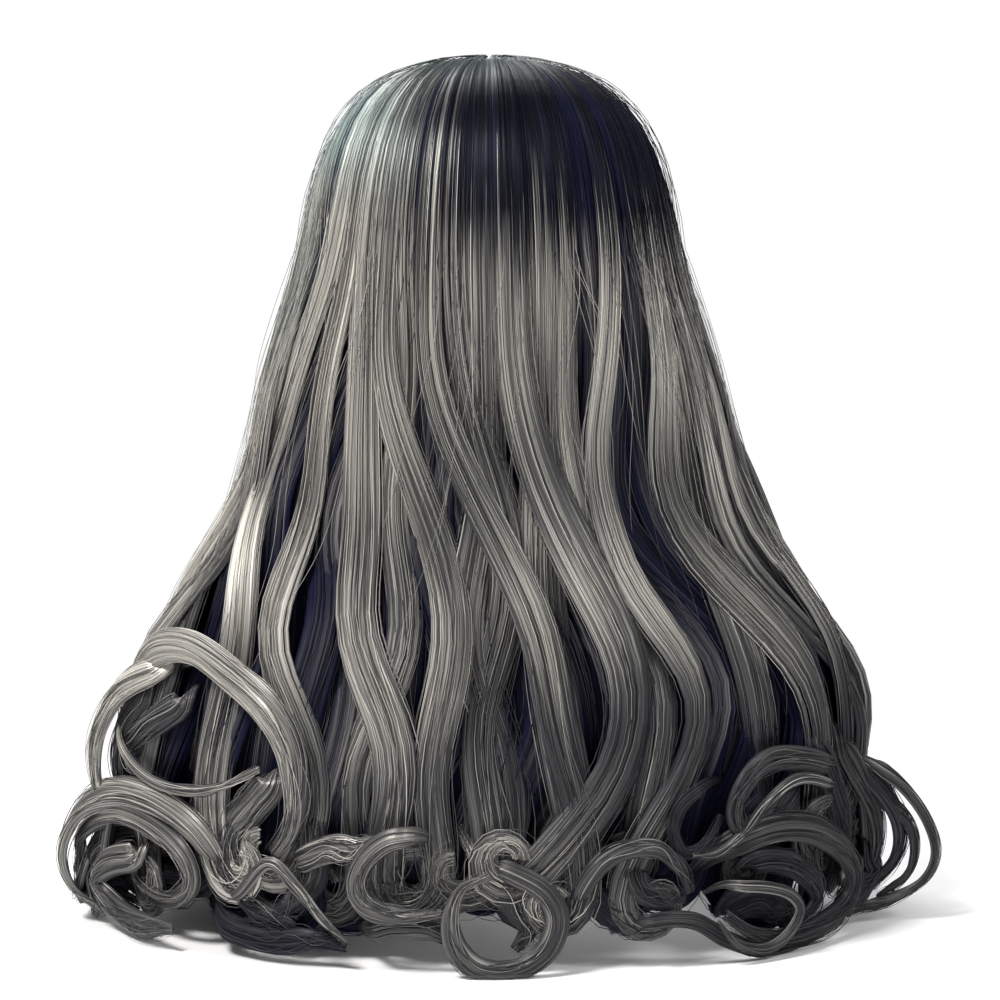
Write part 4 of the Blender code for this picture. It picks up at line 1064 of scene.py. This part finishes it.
def stitchRow(line, normal, side, slant):
    # dashes of thread along a line, each bowed up out of the cloth and down into it again
    pitch, thick, rows = stitches["length"] + stitches["gap"], stitches["thick"], stitches["rows"]
    length = np.concatenate([[0], np.cumsum(np.linalg.norm(np.diff(line, axis=0), axis=1))])
    count = int(length[-1] / pitch)
    t = np.linspace(0, 1, rows)
    at = (np.arange(count) * pitch + stitches["gap"] / 2)[:, None] + stitches["length"] * t

    def read(values):
        return np.stack([np.interp(at, length, column) for column in values.T], -1)

    up = read(normal)
    paths = read(line) + up * (thick * (0.75 * np.sin(np.pi * t) - 0.10))[None, :, None]
    if slant:
        flip = np.where(np.arange(count) % 2, 1, -1)[:, None]
        paths = paths + read(side) * (slant * flip * (2 * t - 1))[..., None]
    size = np.full((count, rows), thick)
    return sweptMesh(paths, up, roundSection(6), size, size, np.zeros((count, rows, 4)), np.zeros(count))


def tubeAlong(line, normal, thick):
    # one closed tube along a line, for a rolled and bound edge
    size = np.full((1, len(line)), thick)
    masks = np.zeros((1, len(line), 4))
    return sweptMesh(line[None], normal[None], roundSection(8), size, size, masks, np.zeros(1))


leastSheet = 0.0101  # the least height taken for a sheet's flat box; the narrowest sheet that can be declared


def patch(name, start, end, low, high, material, inset=0.0, thickness=None, rows=10,
          hems=(), seams=(), slant=0.0):
    # a piece of the cap between two azimuths and two heights, with its bound edges and its rows of stitches
    thickness = capBuild["thick"] if thickness is None else thickness
    columns = max(8, int(abs(end - start) / 1.5))
    across = np.broadcast_to(np.linspace(start, end, columns)[None], (rows, columns))
    share = np.linspace(0, 1, rows)[:, None]
    up = low(across) + (high(across) - low(across)) * share
    # the cloth puckers a little beside its stitches
    puckers = 0.00012 * np.sin(np.radians(across) * 240) * (1 - np.sin(np.pi * share))
    shape, area, wide, tall = gridPanel(across, up, inset, inset + thickness, puckers)
    made = addPiece("cloth_" + name, shape, material, name)
    # the area is kept between 0.3 and 1 of the flat box; nothing uses it after; the
    # declared area is kept between 0.3 and 1 of the flat box
    full = wide * max(leastSheet, tall)
    area = max(min(area, 0.999 * full), 0.301 * full)
    max(leastSheet, tall)
    a = across[0]

    def edge(height, offset):
        line = headAt(a, height(a), np.full(a.shape, offset))
        return line, unit(headAt(a, height(a), np.full(a.shape, offset + 0.001)) - line)

    # a binding is folded over the edge and hardly hangs below it, so the ear tabs swing clear
    bound = [edge(shifted(height, capBuild["bindingLift"]), inset + thickness / 2) for height in hems]
    if bound:
        shape = joined([tubeAlong(line, out, capBuild["bindingThick"]) for line, out in bound])
        addPiece("binding_" + name, shape, material, name)
    rowsOfStitches = []
    for height in seams:
        for offset, flip in ((inset - stitches["lift"], -1), (inset + thickness + stitches["lift"], 1)):
            line, out = edge(height, offset)
            side = unit(np.cross(out, np.gradient(line, axis=0)))
            rowsOfStitches.append(stitchRow(line, out * flip, side, slant))
    if rowsOfStitches:
        addPiece("stitches_" + name, joined(rowsOfStitches), thread, name)
    print(name, "flat %.0f x %.0f mm" % (tall * 1000, wide * 1000))


def shifted(function, by):
    return lambda a: function(a) + by


def level(height):
    return lambda a: height + 0 * a


bands = {
    "nape_band": (-65, 65, 0.030, 0.0275),
    "side_band_left": (65.4, 114.6, 0.014, 0.0118),
    "side_band_right": (-65.4, -114.6, 0.014, 0.0118),
    "front_band": (115, 245, capBuild["frontBand"], 0.0175),
}
for name, (start, end, tall, topSeam) in bands.items():
    seams = (shifted(rimHeight, capBuild["stitchIn"]), shifted(rimHeight, topSeam))
    top = shifted(rimHeight, tall)
    patch(name, start, end, rimHeight, top, velvet, hems=(rimHeight,), seams=seams)
ribLow = shifted(rimHeight, 0.030 + capBuild["ribGap"])
ribHigh = level(capBuild["netHeight"] - capBuild["ribGap"])
ribHalf = 3.72
for place, azimuth in {"centre": 0, "left": 42, "right": -42}.items():
    patch("rib_" + place, azimuth - ribHalf, azimuth + ribHalf, ribLow, ribHigh, netCloth, rows=24)
for number, height in enumerate((-0.014, 0.000, 0.014, 0.028, 0.042, 0.056), 1):
    low, high = height - capBuild["tapeHalf"], height + capBuild["tapeHalf"]
    azimuths = np.arange(0, 151)
    outside = rimHeight(azimuths + 1) >= low
    reach = int(azimuths[outside][0]) if outside.any() else 150
    patch("weft_row_%d" % number, -reach, reach, level(low), level(high), tape,
          inset=capBuild["thick"] + capBuild["layer"], thickness=capBuild["tapeThick"], rows=5,
          seams=(level(height),), slant=stitches["slant"])


def buildNet():
    # the lace over the top of the head, a dome of rings up to its pole, with elastic gathers in its hem
    azimuth = np.linspace(-180, 180, 181)[:-1]
    low = np.maximum(capBuild["netHeight"], rimHeight(azimuth) + capBuild["frontBand"] + capBuild["seam"])
    lowClimb = np.degrees(np.arcsin(low / head["rise"]))
    rows = 46
    share = np.linspace(0, 1, rows)[:, None]
    climb = np.radians(lowClimb + (89.4 - lowClimb) * share)
    gathers = 0.00018 * np.sin(np.radians(azimuth) * 90) * (1 - share) ** 2
    across = np.broadcast_to(azimuth, climb.shape)
    up = head["rise"] * np.sin(climb)
    inner, outer = headAt(across, up, -gathers), headAt(across, up, capBuild["thick"] + gathers)
    uv = outer[..., :2] * 1000 * (1 + 0.35 * (1 - share[..., None]))
    shape = closedPanel(inner, outer, uv, ring=True)
    # the pole: the top ring is closed by moving it onto the axis
    count = len(azimuth)
    for first in ((rows - 1) * count, (2 * rows - 1) * count):
        ring = shape["points"][first:first + count]
        ring[:] = ring.mean(0) * 0.999 + ring * 0.001
    made = addPiece("cloth_crown_net", shape, netCloth, "crown_net")


buildNet()

parting = {"half": 0.009, "from": -58, "to": 6, "thick": 0.0008, "reach": 0.115, "hairs": 900, "hairThick": 0.0003}


def buildParting():
    # a strip of skin-coloured silk over the crown, with a fine dark knot where each hair comes through
    half = parting["half"] / head["width"]
    across, along = np.meshgrid(
        np.linspace(-half, half, 13), np.radians(np.linspace(parting["from"], parting["to"], 70)))
    way = stacked(np.sin(across) * np.cos(along), np.sin(along), np.cos(across) * np.cos(along))
    low = capBuild["thick"] + capBuild["layer"]
    high = low + parting["thick"]
    uv = np.stack([across * head["width"], along * parting["reach"]], -1) * 1000
    shape = closedPanel(onHead(way, np.full(across.shape, low)), onHead(way, np.full(across.shape, high)), uv)
    made = addPiece("cloth_parting_skin", shape, skinCloth, "parting_skin")
    rng = np.random.default_rng(77)
    count, rows = parting["hairs"], 4
    a = rng.uniform(-0.9, 0.9, count)[:, None] * half
    b = rng.uniform(np.radians(parting["from"] + 1), np.radians(parting["to"] - 1), count)[:, None]
    a = a + np.where(a > 0, 1, -1) * np.linspace(0, 0.010, rows)
    way = stacked(np.sin(a) * np.cos(b), np.sin(b), np.cos(a) * np.cos(b))
    paths = onHead(way, np.broadcast_to(high + np.array([-0.0003, 0.0002, 0.0005, 0.0008]), a.shape))
    size = np.full(a.shape, parting["hairThick"])
    masks = hairMasks(paths, 0.3, 0.2, 0.0)
    knots = sweptMesh(paths, unit(paths), strandSection, size, size, masks, np.zeros(count))
    addPiece("roots_parting_skin", knots, hairFinish, "parting_skin")


buildParting()


def roundEdges(made, width, **settings):
    rounded = made.modifiers.new("rounded", "BEVEL")
    rounded.width = width
    rounded.segments = 2
    rounded.limit_method = "ANGLE"
    for key, value in settings.items():
        setattr(rounded, key, value)


def softened(node, material, body, slotName, bevel, held, flat, **area):
    # a sewn piece from the solid of the same name: its flat faces are welded and given rounded edges
    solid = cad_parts[node]
    mesh = solid.data.copy()
    mesh.name = "cloth_" + node
    mesh.materials.clear()
    mesh.materials.append(material)
    work = bmesh.new()
    work.from_mesh(mesh)
    bmesh.ops.transform(work, matrix=solid.matrix_world, verts=work.verts)
    bmesh.ops.remove_doubles(work, verts=work.verts, dist=1e-6)
    bmesh.ops.dissolve_limit(work, angle_limit=0.02, verts=work.verts, edges=work.edges)
    bmesh.ops.recalc_face_normals(work, faces=work.faces)
    for face in work.faces:
        face.smooth = True
        face.material_index = 0
    work.to_mesh(mesh)
    work.free()
    made = stoodIn(bpy.data.objects.new("cloth_" + node, mesh), node, body)
    roundEdges(made, bevel, angle_limit=np.radians(35), harden_normals=True)


for side in ("left", "right"):
    casing, sleeve, strap, tab = ("%s_%s" % (node, side) for node in (
        "strap_casing", "loop_sleeve", "adjuster_strap", "ear_tab"))
    adjuster = "adjuster_" + side
    softened(casing, velvetSmall, "cap", "velvet_band", 0.0002, "folded", (0.022, 0.0145))
    softened(sleeve, tapeSmall, "cap", "weft_tape", 0.00015, "folded", (0.0200, 0.0230))
    softened(strap, elastic, adjuster, "elastic", 0.0003, "stretched", (leastSheet, 0.0450), area=0.00033)
    softened(tab, velvetSmall, tab, "velvet_band", 0.0003, "stretched", (0.026, 0.028), area=0.00062)

for material, names in (
    (combPlastic, ("comb_front_left", "comb_front_right", "comb_nape_left", "comb_nape_right")),
    (hookPlastic, ("adjuster_hook_left", "adjuster_hook_right")),
    (staySteel, ("ear_stay_left", "ear_stay_right")),
):
    for name in names:
        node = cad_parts[name]
        for place in node.material_slots:
            place.link = "OBJECT"
            place.material = material
        node.modifiers.new("weld", "WELD").merge_threshold = 1e-6
        roundEdges(node, 0.0002)
print("cap made")

# stage, light and camera

floor = {"half": 6.0, "fadeFrom": 0.40, "fadeTo": 0.85}


def makeFloor():
    corners = [(x * floor["half"], y * floor["half"], tableZ) for x, y in ((-1, -1), (1, -1), (1, 1), (-1, 1))]
    mesh = bpy.data.meshes.new("floor")
    mesh.from_pydata(corners, [], [(0, 1, 2, 3)])
    made = bpy.data.objects.new("floor", mesh)
    bpy.context.scene.collection.objects.link(made)
    paint, tree, surface = surfaceOf("paleFloor")
    surface["Base Color"].default_value = (0.90, 0.90, 0.91, 1)
    surface["Roughness"].default_value = 0.9
    # the floor fades to the white of the studio away from the object, so it has no horizon
    place = newNode(tree, "TexCoord").outputs["Object"]
    away = newNode(tree, "VectorMath", {0: place}, operation="LENGTH").outputs["Value"]
    fade = ranged(tree, away, floor["fadeFrom"], floor["fadeTo"])
    seen = newNode(tree, "LightPath").outputs["Is Camera Ray"]
    glow = newNode(tree, "Emission", {"Color": (1, 1, 1, 1)}).outputs["Emission"]
    painted = tree.nodes["Principled BSDF"].outputs["BSDF"]
    both = newNode(tree, "MixShader", {"Fac": times(tree, fade, seen), 1: painted, 2: glow}).outputs["Shader"]
    tree.links.new(both, tree.nodes["Material Output"].inputs["Surface"])
    mesh.materials.append(paint)


def makeLight(name, place, target, size, power, colour=(1, 1, 1)):
    light = bpy.data.lights.new(name, "AREA")
    light.size = size
    light.energy = power
    light.color = colour
    aimed(bpy.data.objects.new(name, light), Vector(place), Vector(target))


def aimed(made, place, target):
    made.location = place
    made.rotation_euler = (target - place).to_track_quat("-Z", "Y").to_euler()
    bpy.context.scene.collection.objects.link(made)
    return made


makeFloor()
world = bpy.data.worlds.new("studio")
world.use_nodes = True
sky = world.node_tree.nodes["Background"]
sky.inputs["Color"].default_value = (1.0, 1.0, 1.0, 1)
seen = newNode(world.node_tree, "LightPath").outputs["Is Camera Ray"]
# the sky lights the wig softly and is seen as white
world.node_tree.links.new(ranged(world.node_tree, seen, 0.0, 1.0, 0.25, 1.0), sky.inputs["Strength"])
bpy.context.scene.world = world
makeLight("keyLight", (1.05, 1.25, 1.75), (0, 0.05, -0.05), 0.6, 80, (1.0, 0.98, 0.95))
makeLight("rimLight", (0.9, -1.2, 1.6), (0, 0, 0), 1.2, 36)
makeLight("fillLight", (-1.5, 1.2, 1.3), (0, 0, -0.1), 0.7, 24)
makeLight("frontLight", (-0.15, -1.7, 0.15), (0, 0, -0.05), 0.9, 14)

cameraPlace = {"aim": (-0.006, 0.05, -0.110), "distance": 1.63, "lens": 100, "sensor": 36, "rise": 4.5}
camera = bpy.data.cameras.new("camera")
camera.lens = cameraPlace["lens"]
camera.sensor_width = cameraPlace["sensor"]
aim = Vector(cameraPlace["aim"])
rise = np.radians(cameraPlace["rise"])
place = aim + Vector((0, np.cos(rise), np.sin(rise))) * cameraPlace["distance"]
bpy.context.scene.camera = aimed(bpy.data.objects.new("camera", camera), place, aim)
bpy.context.scene.view_settings.view_transform = "Standard"
